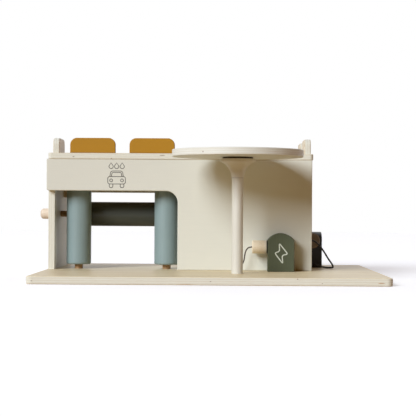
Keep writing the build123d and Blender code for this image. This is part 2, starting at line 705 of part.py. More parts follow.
# ---------------------------------------------------------------- car wash
def standing_roller(x):
    """A roller that stands in the wash, with its spindle's bore."""
    low, high = BASE_TOP + ROLLER_END_GAP, WALL_TOP - ROLLER_END_GAP
    roller = rod_z(ROLLER_D / 2, low, high, x, ROLLER_Y)
    roller = fillet(roller.edges().filter_by(GeomType.CIRCLE), ROLLER_EDGE_R)
    return roller - rod_z(SPINDLE_D / 2, low - 1, high + 1, x, ROLLER_Y)


def roller_spindle(x):
    """The dowel through a standing roller, which turns in the base's and the deck's sockets."""
    low = BASE_TOP - SPINDLE_SOCKET + FIT
    high = WALL_TOP + SPINDLE_SOCKET - FIT
    return rod_z(SPINDLE_D / 2, low, high, x, ROLLER_Y)


def top_roller():
    low, high = LEFT_INNER_X + TOP_ROLLER_END_GAP, MIDDLE_WALL_X - TOP_ROLLER_END_GAP
    roller = rod_x(ROLLER_D / 2, low, high, TOP_ROLLER_Y, TOP_ROLLER_Z)
    roller = fillet(roller.edges().filter_by(GeomType.CIRCLE), ROLLER_EDGE_R)
    return roller - rod_x(AXLE_D / 2, low - 1, high + 1, TOP_ROLLER_Y, TOP_ROLLER_Z)


def knob_inner_x():
    """The knob's face beside the left wall."""
    return LEFT_WALL_X - LIFT_REST_GAP


def roller_axle():
    left = knob_inner_x() - KNOB_BORE
    return rod_x(AXLE_D / 2, left, MIDDLE_WALL_X + AXLE_SOCKET - FIT, TOP_ROLLER_Y, TOP_ROLLER_Z)


def roller_knob():
    inner = knob_inner_x()
    knob = rod_x(KNOB_D / 2, inner - KNOB_LEN, inner, TOP_ROLLER_Y, TOP_ROLLER_Z)
    nose = knob.edges().filter_by(GeomType.CIRCLE).sort_by(Axis.X)[0]
    knob = fillet([nose], KNOB_NOSE_R)
    knob = ease_end(knob, Axis.X, EDGE_EASE)
    return knob - rod_x(AXLE_D / 2, inner - KNOB_BORE, inner + 1, TOP_ROLLER_Y, TOP_ROLLER_Z)


# ---------------------------------------------------------------- lift
def lift_screw_solids(play=0.0):
    """Two screws through the carriage: back plate, slider and handle."""
    y = LIFT_BACK_Y - BOARD_T + SCREW_SINK
    length = BOARD_T + (HANDLE_Y - LIFT_BACK_Y) + BOARD_T / 2
    place = [Pos(SLOT_MID_X, y, LIFT_Z + BOARD_T + up * PLATE_H) for up in (0.2, 0.5)]
    return [p * Rot(-90, 0, 0) * screw(length, play) for p in place]


def cut_lift_screws(piece):
    for hole in lift_screw_solids(HOLE_PLAY):
        piece -= hole
    return piece


def lift_platform():
    sheet = span(LIFT_X, LIFT_X + LIFT_W, LIFT_BACK_Y - LIFT_D, LIFT_BACK_Y)
    sheet = fillet(sheet.vertices(), LIFT_CORNER_R)
    return ease_faces(flat_board(sheet, LIFT_Z, BOARD_T), Axis.Z)


def lift_back_plate():
    """Stands on the platform inside the rear boards."""
    x_mid = max(SLOT_MID_X, LIFT_X + PLATE_W / 2)
    plate = Pos(x_mid, LIFT_BACK_Y - BOARD_T, LIFT_Z + BOARD_T) * cross_board(
        rounded_top(PLATE_W, PLATE_H, PLATE_R), 0, BOARD_T
    )
    return cut_lift_screws(ease_faces(plate, Axis.Y))


def lift_slider():
    """The runner in the slot between the rear boards."""
    width = LIFT_SLOT_W - 2 * SLIDER_PLAY
    sheet = Pos(SLOT_MID_X, LIFT_Z + BOARD_T + PLATE_H / 2) * Rectangle(width, PLATE_H)
    runner = cross_board(sheet, LIFT_BACK_Y, HANDLE_Y - LIFT_BACK_Y)
    return cut_lift_screws(runner)


def lift_handle():
    """The plate outside the rear boards that a hand pushes up."""
    plate = cross_board(rounded_top(PLATE_W, PLATE_H, PLATE_R), 0, BOARD_T)
    plate = Pos(SLOT_MID_X, HANDLE_Y, LIFT_Z + BOARD_T) * ease_faces(plate, Axis.Y)
    middle, outside = HANDLE_Y + BOARD_T / 2, HANDLE_Y + BOARD_T + 1
    knob_hole = rod_y(LIFT_KNOB_STEM_D / 2, middle, outside, SLOT_MID_X, knob_z())
    return cut_lift_screws(plate) - knob_hole


def knob_z():
    return LIFT_Z + BOARD_T + PLATE_H - LIFT_KNOB_DOWN


def lift_knob():
    """A turned knob: a stem in the handle, a neck and a round head."""
    stem, head = LIFT_KNOB_STEM_D / 2, LIFT_KNOB_D / 2
    neck_len = LIFT_KNOB_LEN / 3
    nose = stem * 0.7
    rest = Polyline(
        (nose, LIFT_KNOB_LEN), (0, LIFT_KNOB_LEN), (0, -BOARD_T / 2), (stem, -BOARD_T / 2), (stem, neck_len)
    )
    belly = ThreePointArc((stem, neck_len), (head, LIFT_KNOB_LEN * 0.64), (nose, LIFT_KNOB_LEN))
    profile = make_face(Curve() + [rest, belly])
    turned = revolve(Plane.XZ * profile, Axis.Z)
    return Pos(SLOT_MID_X, HANDLE_Y + BOARD_T, knob_z()) * Rot(-90, 0, 0) * turned


# ---------------------------------------------------------------- every node
def build():
    nodes = {
        "base_plate": base_plate(),
        "front_panel": front_panel(),
        "rear_panel": rear_panel(),
        "rear_lift_panel": rear_lift_panel(),
        "left_wall": left_wall(),
        "middle_wall": middle_wall(),
        "right_wall": right_wall(),
        "roof_deck": roof_deck(),
        "deck_cleats": deck_cleats(),
        "base_screws": group(each_at(base_screw_places(), screw(BASE_SCREW_LEN))),
        "cleat_screws": group(cleat_screw_solids()),
        "deck_dowels": group(deck_dowel_solids()),
        "kerb_dowels": group(kerb_dowel_solids()),
        "helipad_disc": helipad_disc(),
        "helipad_capital": helipad_capital(),
        "helipad_washer": helipad_washer(),
        "helipad_pivot": helipad_pivot(),
        "helipad_column": helipad_column(),
        "charging_post": charging_post(),
        "charger_magnet": charger_magnet(),
        "charger_socket": charger_socket(),
        "charging_plug": charging_plug(),
        "plug_collar": plug_collar(),
        "plug_magnet": plug_magnet(),
        "charging_cord": cord_tube("charging_cord", CHARGING_CORD_ROUTE, CORD_D),
        "fuel_pump": fuel_pump(),
        "pump_magnet": pump_magnet(),
        "pump_socket": pump_socket(),
        "fuel_nozzle": fuel_nozzle(),
        "nozzle_magnet": nozzle_magnet(),
        "fuel_hose": cord_tube("fuel_hose", FUEL_HOSE_ROUTE, HOSE_D),
        "top_roller": top_roller(),
        "roller_axle": roller_axle(),
        "roller_knob": roller_knob(),
        "lift_platform": lift_platform(),
        "lift_back_plate": lift_back_plate(),
        "lift_slider": lift_slider(),
        "lift_handle": lift_handle(),
        "lift_knob": lift_knob(),
        "lift_screws": group(lift_screw_solids()),
    }
    for name, place in kerb_places().items():
        nodes[name] = kerb_board(*place)
    for side, x in ROLLER_XS.items():
        nodes["wash_roller_" + side] = standing_roller(x)
        nodes["roller_spindle_" + side] = roller_spindle(x)
    return nodes


os.makedirs("parts", exist_ok=True)
for node, shape in build().items():
    export_step(shape, f"parts/{node}.step")
print("lift travel", round(LIFT_TRAVEL, 2))
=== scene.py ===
"""Looks of a wooden toy parking garage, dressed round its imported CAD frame, in metres."""
import logging
import math
from dataclasses import dataclass, field
from enum import Enum
from typing import Any, Iterable, Mapping, Protocol

import bpy
import numpy as np
from mathutils import Matrix, Vector


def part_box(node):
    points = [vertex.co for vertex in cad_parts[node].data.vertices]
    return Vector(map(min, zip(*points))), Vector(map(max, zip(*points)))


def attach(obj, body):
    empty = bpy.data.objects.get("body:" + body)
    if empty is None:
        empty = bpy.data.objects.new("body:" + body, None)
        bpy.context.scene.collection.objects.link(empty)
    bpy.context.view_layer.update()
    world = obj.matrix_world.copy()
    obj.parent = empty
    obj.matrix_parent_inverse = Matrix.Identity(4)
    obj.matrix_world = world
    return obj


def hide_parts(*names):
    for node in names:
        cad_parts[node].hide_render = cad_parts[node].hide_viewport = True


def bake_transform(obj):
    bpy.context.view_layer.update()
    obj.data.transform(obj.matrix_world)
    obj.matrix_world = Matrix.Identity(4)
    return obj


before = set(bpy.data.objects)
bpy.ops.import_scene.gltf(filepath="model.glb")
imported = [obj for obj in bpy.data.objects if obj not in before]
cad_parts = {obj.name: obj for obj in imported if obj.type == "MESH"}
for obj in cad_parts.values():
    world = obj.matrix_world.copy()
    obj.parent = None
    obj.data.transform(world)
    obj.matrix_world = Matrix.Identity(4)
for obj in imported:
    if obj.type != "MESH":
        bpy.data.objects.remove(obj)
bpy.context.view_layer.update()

LOG = logging.getLogger("toy_garage")
MM = 0.001
CARRIERS = 8  # threads that wind each way round a braided cord
Colour = tuple[float, float, float]
Point = tuple[float, float, float]


# ---------------------------------------------------------------- nodes
class Axis(Enum):
    """A direction of the garage's frame."""

    X = 0
    Y = 1
    Z = 2

    def scale(self, along: float, across: float = 1.0) -> Point:
        """A pattern's scale: one value along this axis and one across it."""
        return tuple(along if axis is self else across for axis in Axis)


def shade(colour: Colour, factor: float, plus: float = 0.0) -> Colour:
    """A darker or paler colour: each channel times a factor, and a little more."""
    return tuple(min(1.0, c * factor + plus) for c in colour)


class Wire:
    """An output socket that Python's operators can work on."""

    def __init__(self, sheet: "NodeSheet", socket: bpy.types.NodeSocket) -> None:
        """Keeps the socket and the sheet it is on."""
        self.sheet = sheet
        self.socket = socket

    def _math(self, operation: str, *values: Any) -> "Wire":
        """A Math node over the given values.

        Args:
            operation: the Math node's operation.
            values: wires or numbers, in the node's order.

        Returns:
            The node's result.
        """
        return self.sheet.node(
            "ShaderNodeMath", {"operation": operation}, dict(enumerate(values)))

    def __add__(self, other: Any) -> "Wire":
        """Sum."""
        return self._math("ADD", self, other)

    def __radd__(self, other: Any) -> "Wire":
        """Sum, number first."""
        return self._math("ADD", other, self)

    def __sub__(self, other: Any) -> "Wire":
        """Difference."""
        return self._math("SUBTRACT", self, other)

    def __rsub__(self, other: Any) -> "Wire":
        """Difference, number first."""
        return self._math("SUBTRACT", other, self)

    def __mul__(self, other: Any) -> "Wire":
        """Product."""
        return self._math("MULTIPLY", self, other)

    def __rmul__(self, other: Any) -> "Wire":
        """Product, number first."""
        return self._math("MULTIPLY", other, self)

    def __truediv__(self, other: Any) -> "Wire":
        """Quotient."""
        return self._math("DIVIDE", self, other)

    def __mod__(self, other: Any) -> "Wire":
        """Remainder."""
        return self._math("MODULO", self, other)

    def __abs__(self) -> "Wire":
        """Size without sign."""
        return self._math("ABSOLUTE", self)

    def floor(self) -> "Wire":
        """Whole part."""
        return self._math("FLOOR", self)

    def sine(self) -> "Wire":
        """Sine."""
        return self._math("SINE", self)

    def wave(self, rings: float) -> "Wire":
        """Rings that swing between 0 and 1 as the value grows."""
        return (self * rings).sine() * 0.5 + 0.5

    def larger(self, other: Any) -> "Wire":
        """The larger of two values."""
        return self._math("MAXIMUM", self, other)

    def step(self, low: float, high: float) -> "Wire":
        """A soft step from 0 at low to 1 at high.

        Args:
            low: value where the step starts.
            high: value where it ends; below low for a falling step.

        Returns:
            A value from 0 to 1.
        """
        sockets = {"Value": self, "From Min": low, "From Max": high}
        return self.sheet.node("ShaderNodeMapRange", {"interpolation_type": "SMOOTHSTEP"}, sockets)


class NodeSheet:
    """A node tree, with one call for any node."""

    def __init__(self, tree: bpy.types.NodeTree) -> None:
        """Keeps the tree, and empties it."""
        self.tree = tree
        tree.nodes.clear()

    def node(self, kind: str, settings: Mapping[str, Any] | None = None,
             sockets: Mapping[Any, Any] | None = None, output: Any = 0) -> Wire | None:
        """Adds one node.

        Args:
            kind: the node's type.
            settings: its properties, set first.
            sockets: a wire or a plain value for each input, by name or number.
            output: the output that is wanted, by name or number.

        Returns:
            That output, or nothing from an output node.
        """
        made = self.tree.nodes.new(kind)
        for name, value in (settings or {}).items():
            setattr(made, name, value)
        for name, value in (sockets or {}).items():
            self.feed(made.inputs[name], value)
        return Wire(self, made.outputs[output]) if made.outputs else None

    def feed(self, socket: bpy.types.NodeSocket, value: Any) -> None:
        """Links a wire to a socket, or sets the socket to a plain value."""
        if isinstance(value, Wire):
            self.tree.links.new(value.socket, socket)
        elif isinstance(value, tuple) and len(value) == 3 and socket.type == "RGBA":
            socket.default_value = (*value, 1.0)
        else:
            socket.default_value = value


class ShaderSheet(NodeSheet):
    """The node tree of a material or a world, with the few calls that the finishes use."""

    def __init__(self, name: str, world: bpy.types.World | None = None) -> None:
        """Starts an empty tree.

        Args:
            name: the material's name.
            world: the world that the tree is for, where it isn't a material's.
        """
        self.owner = world or bpy.data.materials.new(name)
        self.owner.use_nodes = True
        super().__init__(self.owner.node_tree)

    def place(self, scale: Point = (1.0, 1.0, 1.0), shift: Point = (0.0, 0.0, 0.0)) -> Wire:
        """The point's place in the garage's frame.

        Args:
            scale: stretch of the pattern along each axis.
            shift: offset, so that boards differ.

        Returns:
            A vector.
        """
        here = self.node("ShaderNodeTexCoord", output="Object")
        if scale == (1.0, 1.0, 1.0) and shift == (0.0, 0.0, 0.0):
            return here
        sockets = {"Vector": here, "Scale": scale, "Location": shift}
        return self.node("ShaderNodeMapping", None, sockets)

    def part(self, vector: Wire, axis: Axis) -> Wire:
        """One component of a vector."""
        return self.node("ShaderNodeSeparateXYZ", None, {0: vector}, axis.value)

    def facing(self, axis: Axis) -> Wire:
        """How squarely the surface faces along an axis, from 0 to 1."""
        normal = self.node("ShaderNodeTexCoord", output="Normal")
        return abs(self.part(normal, axis))

    def noise(self, scale: float, detail: float = 3.0, rough: float = 0.55,
              at: Wire | None = None) -> Wire:
        """Fractal noise.

        Args:
            scale: its waves per metre.
            detail: how many finer layers it has.
            rough: how strong they are.
            at: the places it is read at, where these aren't plain ones in the garage's frame.

        Returns:
            A value from 0 to 1.
        """
        return self.node("ShaderNodeTexNoise", None, {
            "Vector": at or self.place(), "Scale": scale, "Detail": detail, "Roughness": rough})

    def mix(self, factor: Any, first: Any, second: Any) -> Wire:
        """Mixes two colours.

        Args:
            factor: 0 for the first, 1 for the second.
            first: colour or wire.
            second: colour or wire.

        Returns:
            The mixed colour.
        """
        sockets = {0: factor, 6: first, 7: second}
        return self.node("ShaderNodeMix", {"data_type": "RGBA"}, sockets, 2)

    def blot(self, centre: Point, reach: Point) -> Wire:
        """A soft ellipsoid mask.

        Args:
            centre: its middle, in the garage's frame.
            reach: its half lengths along the axes.

        Returns:
            1 at the middle and 0 outside.
        """
        scale = tuple(1.0 / r for r in reach)
        shift = tuple(-c / r for c, r in zip(centre, reach))
        away = self.node("ShaderNodeVectorMath", {"operation": "LENGTH"},
                         {0: self.place(scale, shift)}, "Value")
        return away.step(1.0, 0.35)

    def finish(self, colour: Any, roughness: Any, height: Wire | None = None, strength: float = 0.2,
               depth: float = 0.0002, **plain: float) -> bpy.types.Material:
        """Ends the tree in a Principled shader.

        Args:
            colour: base colour.
            roughness: value or wire.
            height: relief for a Bump node, from 0 to 1.
            strength: the bump's strength.
            depth: the relief's depth in metres.
            plain: values set on the shader's own sockets, with _ for a space.

        Returns:
            The finished material.
        """
        sockets: dict[str, Any] = {"Base Color": colour, "Roughness": roughness}
        if height is not None:
            sockets["Normal"] = self.node(
                "ShaderNodeBump", None, {"Height": height, "Strength": strength, "Distance": depth})
        for name, value in plain.items():
            sockets[name.replace("_", " ").title().replace("Ior", "IOR")] = value
        shader = self.node("ShaderNodeBsdfPrincipled", None, sockets)
        self.node("ShaderNodeOutputMaterial", None, {"Surface": shader})
        return self.owner


# ---------------------------------------------------------------- finishes
class Finish(Protocol):
    """What every finish can do."""

    def material(self) -> bpy.types.Material:
        """Builds the finish's material."""


@dataclass(frozen=True)
class Mark:
    """A knot or a streak in the wood, or a line of painted shade: its middle, its half lengths and
    how dark it is.
    """

    centre: Point
    reach: Point
    colour: Colour = (0.20, 0.09, 0.035)
    depth: float = 0.7


@dataclass(frozen=True)
class Veneer:
    """Colours of one sort of birch plywood."""

    pale: Colour = (0.76, 0.655, 0.47)
    dark: Colour = (0.63, 0.50, 0.315)
    edge_pale: Colour = (0.845, 0.84, 0.735)
    edge_dark: Colour = (0.74, 0.70, 0.57)
    glue: Colour = (0.50, 0.37, 0.22)


class EdgeLook(Enum):
    """What a board's edges show."""

    RAW = "plies"
    PAINTED = "paint"


@dataclass(frozen=True)
class BoardFinish:
    """Plywood, with or without paint on its faces.

    Its plies are stacked through one axis, from its low side on, and its face grain runs along
    another. Uneven is how much darker its paint gets in places, wobble how far its plies wander,
    and shine the shader's specular level.
    """

    name: str
    through: Axis
    grain: Axis
    low: float
    thick: float
    paint: Colour | None = None
    edges: EdgeLook = EdgeLook.RAW
    veneer: Veneer = Veneer()
    marks: tuple[Mark, ...] = ()
    roughness: float = 0.5
    plies: int = 7
    uneven: float = 0.035
    shine: float = 0.5
    wobble: float = 0.25 * MM
    relief: float = 0.15 * MM

    def _shift(self) -> Point:
        """An offset of the board's own, so that no two boards match."""
        seed = sum(ord(c) * (i + 3) for i, c in enumerate(self.name))
        return ((seed % 97) * 0.031, (seed % 89) * 0.027, (seed % 83) * 0.023)

    def _face(self, sheet: ShaderSheet) -> tuple[Wire, Wire]:
        """Colour and relief of the face veneer.

        Args:
            sheet: the material's sheet.

        Returns:
            Colour and relief.
        """
        drawn = sheet.place(self.grain.scale(0.07), self._shift())
        flame = sheet.noise(17.0, at=drawn).wave(62.0)
        streak = sheet.noise(160.0, 5.0, 0.65, drawn)
        pore = sheet.noise(1500.0, 2.0, at=sheet.place(self.grain.scale(0.05), self._shift()))
        share = flame * 0.34 + streak.step(0.35, 0.72) * 0.5
        colour = sheet.mix(share, self.veneer.pale, self.veneer.dark)
        colour = sheet.mix(pore.step(0.62, 0.75) * 0.35, colour, self.veneer.glue)
        return colour, streak * 0.7 + pore * 0.3

    def _edge(self, sheet: ShaderSheet) -> Wire:
        """Colour of the plies on the board's edges."""
        height = sheet.part(sheet.place(), self.through) + sheet.noise(45.0, 2.0) * self.wobble
        level = (height - self.low) / self.thick * self.plies
        layer = level.floor()
        cross = (layer % 2.0).step(0.4, 0.6)
        seam = abs(level - layer - 0.5).step(0.40, 0.50)
        drawn = sheet.place(self.through.scale(1.0, 0.06), self._shift())
        fibre = sheet.noise(900.0, 4.0, 0.7, drawn)
        dots = sheet.noise(2600.0, 2.0)
        colour = sheet.mix(cross * 0.45 + fibre.step(0.3, 0.8) * 0.45, self.veneer.edge_pale,
                           self.veneer.edge_dark)
        colour = sheet.mix(cross * dots.step(0.5, 0.72) * 0.30, colour, self.veneer.glue)
        return sheet.mix(seam * fibre.step(0.35, 0.65) * 0.40, colour, self.veneer.glue)

    def _paint(self, sheet: ShaderSheet) -> tuple[Wire, Wire]:
        """Colour and relief of the paint on the face."""
        grain = sheet.noise(330.0, 4.0, 0.6, sheet.place(self.grain.scale(0.06), self._shift()))
        cloud = sheet.noise(13.0, at=sheet.place(shift=self._shift()))
        peel = sheet.noise(2100.0, 2.0)
        share = grain.step(0.35, 0.75) * 0.35 + cloud.step(0.35, 0.7) * 0.3
        colour = sheet.mix(share, self.paint, shade(self.paint, 1.0 - self.uneven))
        return colour, grain * 0.6 + peel * 0.4

    def material(self) -> bpy.types.Material:
        """Builds the board's material."""
        sheet = ShaderSheet(self.name)
        colour, height = self._face(sheet) if self.paint is None else self._paint(sheet)
        if self.edges is EdgeLook.RAW:
            face = sheet.facing(self.through).step(0.55, 0.80)
            colour = sheet.mix(face, self._edge(sheet), colour)
        for mark in self.marks:
            spot = sheet.blot(mark.centre, mark.reach)
            ragged = sheet.noise(1200.0).step(0.25, 0.6)
            colour = sheet.mix(spot * (ragged * 0.5 + 0.5) * mark.depth, colour, mark.colour)
        rough = height * 0.12 + (self.roughness - 0.06)
        return sheet.finish(colour, rough, height, 0.25, self.relief, specular_ior_level=self.shine)


@dataclass(frozen=True)
class PaintFinish:
    """Matt paint over solid or turned wood, with a dark line at the height of a seam: the seam's
    line, with painted shade of its gap.
    """

    name: str
    colour: Colour
    grain: Axis = Axis.Z
    roughness: float = 0.5
    uneven: float = 0.10
    seam: float | None = None
    seam_shade_reach: tuple[float, float] = (0.25 * MM, 0.60 * MM)
    relief: float = 0.15 * MM

    def material(self) -> bpy.types.Material:
        """Builds the paint's material."""
        sheet = ShaderSheet(self.name)
        grain = sheet.noise(520.0, 4.0, 0.65, sheet.place(self.grain.scale(0.05)))
        cloud = sheet.noise(24.0, 4.0)
        peel = sheet.noise(1900.0, 2.0)
        scuff = sheet.noise(95.0, 6.0, 0.75).step(0.66, 0.78)
        share = grain.step(0.3, 0.75) * 0.5 + cloud.step(0.3, 0.7) * 0.4
        colour = sheet.mix(share, self.colour, shade(self.colour, 1.0 - self.uneven))
        colour = sheet.mix(scuff * 0.22, colour, shade(self.colour, 1.12, 0.01))
        # painted shade: a thin dark band where the seam's gap would hold shadow
        if self.seam is not None:
            off = abs(sheet.part(sheet.place(), Axis.Z) - self.seam)
            seam_shade = 1.0 - off.step(*self.seam_shade_reach)
            colour = sheet.mix(seam_shade * 0.55, colour, shade(self.colour, 0.35))
        rough = grain * 0.10 + scuff * 0.08 + (self.roughness - 0.07)
        return sheet.finish(colour, rough, grain * 0.6 + peel * 0.4, 0.3, self.relief)


@dataclass(frozen=True)
class BeechFinish:
    """Turned beech under a thin clear coat."""

    name: str
    grain: Axis
    pale: Colour = (0.80, 0.60, 0.42)
    dark: Colour = (0.66, 0.44, 0.27)
    fleck: Colour = (0.40, 0.22, 0.11)
    roughness: float = 0.48
    relief: float = 0.10 * MM

    def material(self) -> bpy.types.Material:
        """Builds the beech's material."""
        sheet = ShaderSheet(self.name)
        drawn = sheet.place(self.grain.scale(0.08))
        ring = sheet.noise(60.0, 2.0, at=drawn).wave(34.0)
        fibre = sheet.noise(900.0, 4.0, 0.7, drawn)
        dash = sheet.noise(1500.0, 1.0, at=sheet.place(self.grain.scale(0.28))).step(0.64, 0.72)
        colour = sheet.mix(ring * 0.35 + fibre.step(0.3, 0.75) * 0.5, self.pale, self.dark)
        ends = sheet.facing(self.grain).step(0.75, 0.9)
        colour = sheet.mix(dash * (1.0 - ends) * 0.4, colour, self.fleck)
        colour = sheet.mix(ends * 0.35, colour, self.dark)
        rough = fibre * 0.12 + (self.roughness - 0.06)
        return sheet.finish(colour, rough, fibre * 0.7 + dash * -0.3, 0.2, self.relief)


@dataclass(frozen=True)
class MetalFinish:
    """Zinc-plated steel."""

    name: str
    colour: Colour = (0.60, 0.60, 0.61)
    roughness: float = 0.32
    relief: float = 0.05 * MM

    def material(self) -> bpy.types.Material:
        """Builds the metal's material."""
        sheet = ShaderSheet(self.name)
        cloud = sheet.noise(380.0, 4.0, 0.6)
        scratch = sheet.noise(2600.0, 2.0, at=sheet.place(Axis.Y.scale(0.1)))
        colour = sheet.mix(cloud.step(0.3, 0.7) * 0.5, self.colour, shade(self.colour, 0.72))
        rough = cloud * 0.2 + scratch * 0.1 + (self.roughness - 0.12)
        return sheet.finish(colour, rough, scratch, 0.1, self.relief, metallic=1.0)


@dataclass(frozen=True)
class FeltFinish:
    """Pressed felt."""

    name: str
    colour: Colour = (0.032, 0.028, 0.024)
    relief: float = 0.30 * MM

    def material(self) -> bpy.types.Material:
        """Builds the felt's material."""
        sheet = ShaderSheet(self.name)
        hair = sheet.noise(1400.0, 5.0, 0.8)
        colour = sheet.mix(hair.step(0.4, 0.75), self.colour, shade(self.colour, 2.6))
        return sheet.finish(colour, 0.95, hair, 0.6, self.relief, sheen_weight=0.3)


@dataclass(frozen=True)
class BraidFinish:
    """Braided cord, laid along the cord's own UV map."""

    name: str
    colour: Colour
    fleck: Colour
    sheen: float = 0.25
    relief: float = 0.15 * MM

    def material(self) -> bpy.types.Material:
        """Builds the cord's material."""
        sheet = ShaderSheet(self.name)
        along = sheet.node("ShaderNodeUVMap", {"uv_map": "UVMap"})
        turn, run = sheet.part(along, Axis.X), sheet.part(along, Axis.Y)
        rise = (turn + run) * (CARRIERS * math.pi)
        fall = (turn - run) * (CARRIERS * math.pi)
        weave = abs(rise.sine()).larger(abs(fall.sine()))
        thread = sheet.noise(42.0, rough=0.7, at=along)
        share = weave.step(0.7, 1.0) * 0.6 + thread.step(0.4, 0.7) * 0.4
        colour = sheet.mix(share, self.colour, self.fleck)
        height = weave * 0.7 + thread * 0.3
        return sheet.finish(colour, thread * 0.2 + 0.5, height, 0.5, self.relief,
                            sheen_weight=self.sheen)


@dataclass(frozen=True)
class InkFinish:
    """Printed line."""

    name: str
    colour: Colour
    relief: float = 0.05 * MM

    def material(self) -> bpy.types.Material:
        """Builds the ink's material."""
        sheet = ShaderSheet(self.name)
        grain = sheet.noise(700.0)
        worn = shade(self.colour, 1.18, 0.012)
        colour = sheet.mix(grain.step(0.35, 0.75) * 0.5, self.colour, worn)
        return sheet.finish(colour, grain * 0.15 + 0.5, grain, 0.1, self.relief)


# ---------------------------------------------------------------- pieces
def new_mesh(name: str, points: Iterable[Iterable[float]], faces: Iterable[tuple[int, ...]] = (),
             edges: Iterable[tuple[int, int]] = ()) -> bpy.types.Mesh:
    """A mesh of points with faces or loose edges."""
    mesh = bpy.data.meshes.new(name)
    mesh.from_pydata(list(points), list(edges), list(faces))
    return mesh


def add_object(name: str, mesh: bpy.types.Mesh) -> bpy.types.Object:
    """Links a mesh into the scene as an object at the origin."""
    made = bpy.data.objects.new(name, mesh)
    bpy.context.scene.collection.objects.link(made)
    return made


def dress(finish: Finish, *nodes: str) -> bpy.types.Material:
    """Gives CAD nodes a new material.

    Args:
        finish: what the material looks like.
        nodes: names of CAD nodes.

    Returns:
        The material, for what else shares it.
    """
    material = finish.material()
    for name in nodes:
        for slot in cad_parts[name].material_slots:
            slot.material = material
    LOG.info("dressed %s as %s", ", ".join(nodes), material.name)
    return material


def dress_board(node: str, through: Axis, grain: Axis, name: str = "", **looks: Any) -> None:
    """Dresses one plywood board from its own box.

    Args:
        node: the board's CAD node.
        through: the way through its plies.
        grain: the way its face grain runs.
        name: the finish's name, where it isn't made from the node's.
        looks: other fields of its finish.
    """
    low, high = (corner[through.value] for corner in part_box(node))
    dress(BoardFinish(name or node + "_ply", through, grain, low, high - low, **looks), node)


def report(piece: bpy.types.Object) -> bpy.types.Object:
    """Logs a finished piece and hands it on."""
    LOG.info("%s: %d faces", piece.name, len(piece.data.polygons))
    return piece


def frozen(source: bpy.types.Object) -> bpy.types.Mesh:
    """A plain mesh of what an object's modifiers or curve make. The object is removed."""
    graph = bpy.context.evaluated_depsgraph_get()
    mesh = bpy.data.meshes.new_from_object(source.evaluated_get(graph), depsgraph=graph)
    bpy.data.objects.remove(source)
    return mesh


class GeometrySheet(NodeSheet):
    """A Geometry Nodes tree with named inputs that ends in Realize Instances and Set Material."""

    def __init__(self, name: str, inputs: Mapping[str, str]) -> None:
        """Starts the tree.

        Args:
            name: the tree's name.
            inputs: socket type of each named input, after the geometry.
        """
        super().__init__(bpy.data.node_groups.new(name, "GeometryNodeTree"))
        face = self.tree.interface
        for label, kind in {"Geometry": "NodeSocketGeometry", **inputs}.items():
            face.new_socket(label, in_out="INPUT", socket_type=kind)
        face.new_socket("Geometry", in_out="OUTPUT", socket_type="NodeSocketGeometry")
        self.start = self.tree.nodes.new("NodeGroupInput")

    def given(self, label: str) -> Wire:
        """The group input of that name."""
        return Wire(self, self.start.outputs[label])

    def end(self, geometry: Wire) -> None:
        """Closes the tree on what it makes, with flat shaded faces."""
        real = self.node("GeometryNodeRealizeInstances", None, {"Geometry": geometry})
        flat = self.node("GeometryNodeSetShadeSmooth", None,
                         {"Geometry": real, "Shade Smooth": False})
        dressed = self.node("GeometryNodeSetMaterial", None,
                            {"Geometry": flat, "Material": self.given("Material")})
        self.node("NodeGroupOutput", None, {"Geometry": dressed})

    def apply(self, name: str, source: bpy.types.Object,
              values: Mapping[str, Any]) -> bpy.types.Object:
        """Runs the tree on an object and keeps the result as a plain mesh.

        Args:
            name: the new piece's name.
            source: the object that the tree starts from.
            values: a value for each named input.

        Returns:
            The new piece.
        """
        modifier = source.modifiers.new("nodes", "NODES")
        modifier.node_group = self.tree
        for item in self.tree.interface.items_tree:
            if item.item_type == "SOCKET" and item.in_out == "INPUT" and item.name in values:
                modifier[item.identifier] = values[item.name]
        mesh = frozen(source)
        mesh.name = name
        return add_object(name, mesh)


class StrokeTree:
    """Draws a printed line of even width along the edges of a flat mesh."""

    thickness: float = 0.14 * MM
    sunk: float = 0.35

    def __init__(self) -> None:
        """Builds the tree."""
        sheet = GeometrySheet("printed_line", {
            "Line Width": "NodeSocketFloat", "Ink Thickness": "NodeSocketFloat",
            "Turn": "NodeSocketRotation", "Place": "NodeSocketVector",
            "Material": "NodeSocketMaterial"})
        curve = sheet.node("GeometryNodeMeshToCurve", None, {"Mesh": sheet.given("Geometry")})
        level = sheet.node("GeometryNodeSetCurveNormal", {"mode": "Z_UP"}, {"Curve": curve})
        band = sheet.node("GeometryNodeCurvePrimitiveQuadrilateral", None, {
            "Width": sheet.given("Line Width"), "Height": sheet.given("Ink Thickness")})
        swept = sheet.node("GeometryNodeCurveToMesh", None, {
            "Curve": level, "Profile Curve": band, "Fill Caps": True})
        stood = sheet.node("GeometryNodeTransform", None, {
            "Geometry": swept, "Translation": sheet.given("Place"),
            "Rotation": sheet.given("Turn")})
        sheet.end(stood)
        self.sheet = sheet

    def draw(self, name: str, strokes: Iterable["Stroke"], width: float, face_y: float,
             material: bpy.types.Material) -> bpy.types.Object:
        """Prints strokes on a face that looks along -Y.

        Args:
            name: the piece's name.
            strokes: lines in the face's own X and Z.
            width: line width.
            face_y: Y of the face.
            material: the ink.

        Returns:
            The printed piece.
        """
        points: list[Point] = []
        edges: list[tuple[int, int]] = []
        for stroke in strokes:
            first = len(points)
            points += [(x, z, 0.0) for x, z in stroke.points]
            edges += [(i, i + 1) for i in range(first, len(points) - 1)]
            if stroke.closed:
                edges.append((len(points) - 1, first))
        mesh = new_mesh(name, points, edges=edges)
        stand_off = (0.0, face_y - self.thickness * self.sunk, 0.0)
        return self.sheet.apply(name, add_object(name + "_lines", mesh), {
            "Line Width": width, "Ink Thickness": self.thickness,
            "Turn": (math.pi / 2, 0.0, 0.0), "Place": stand_off, "Material": material})


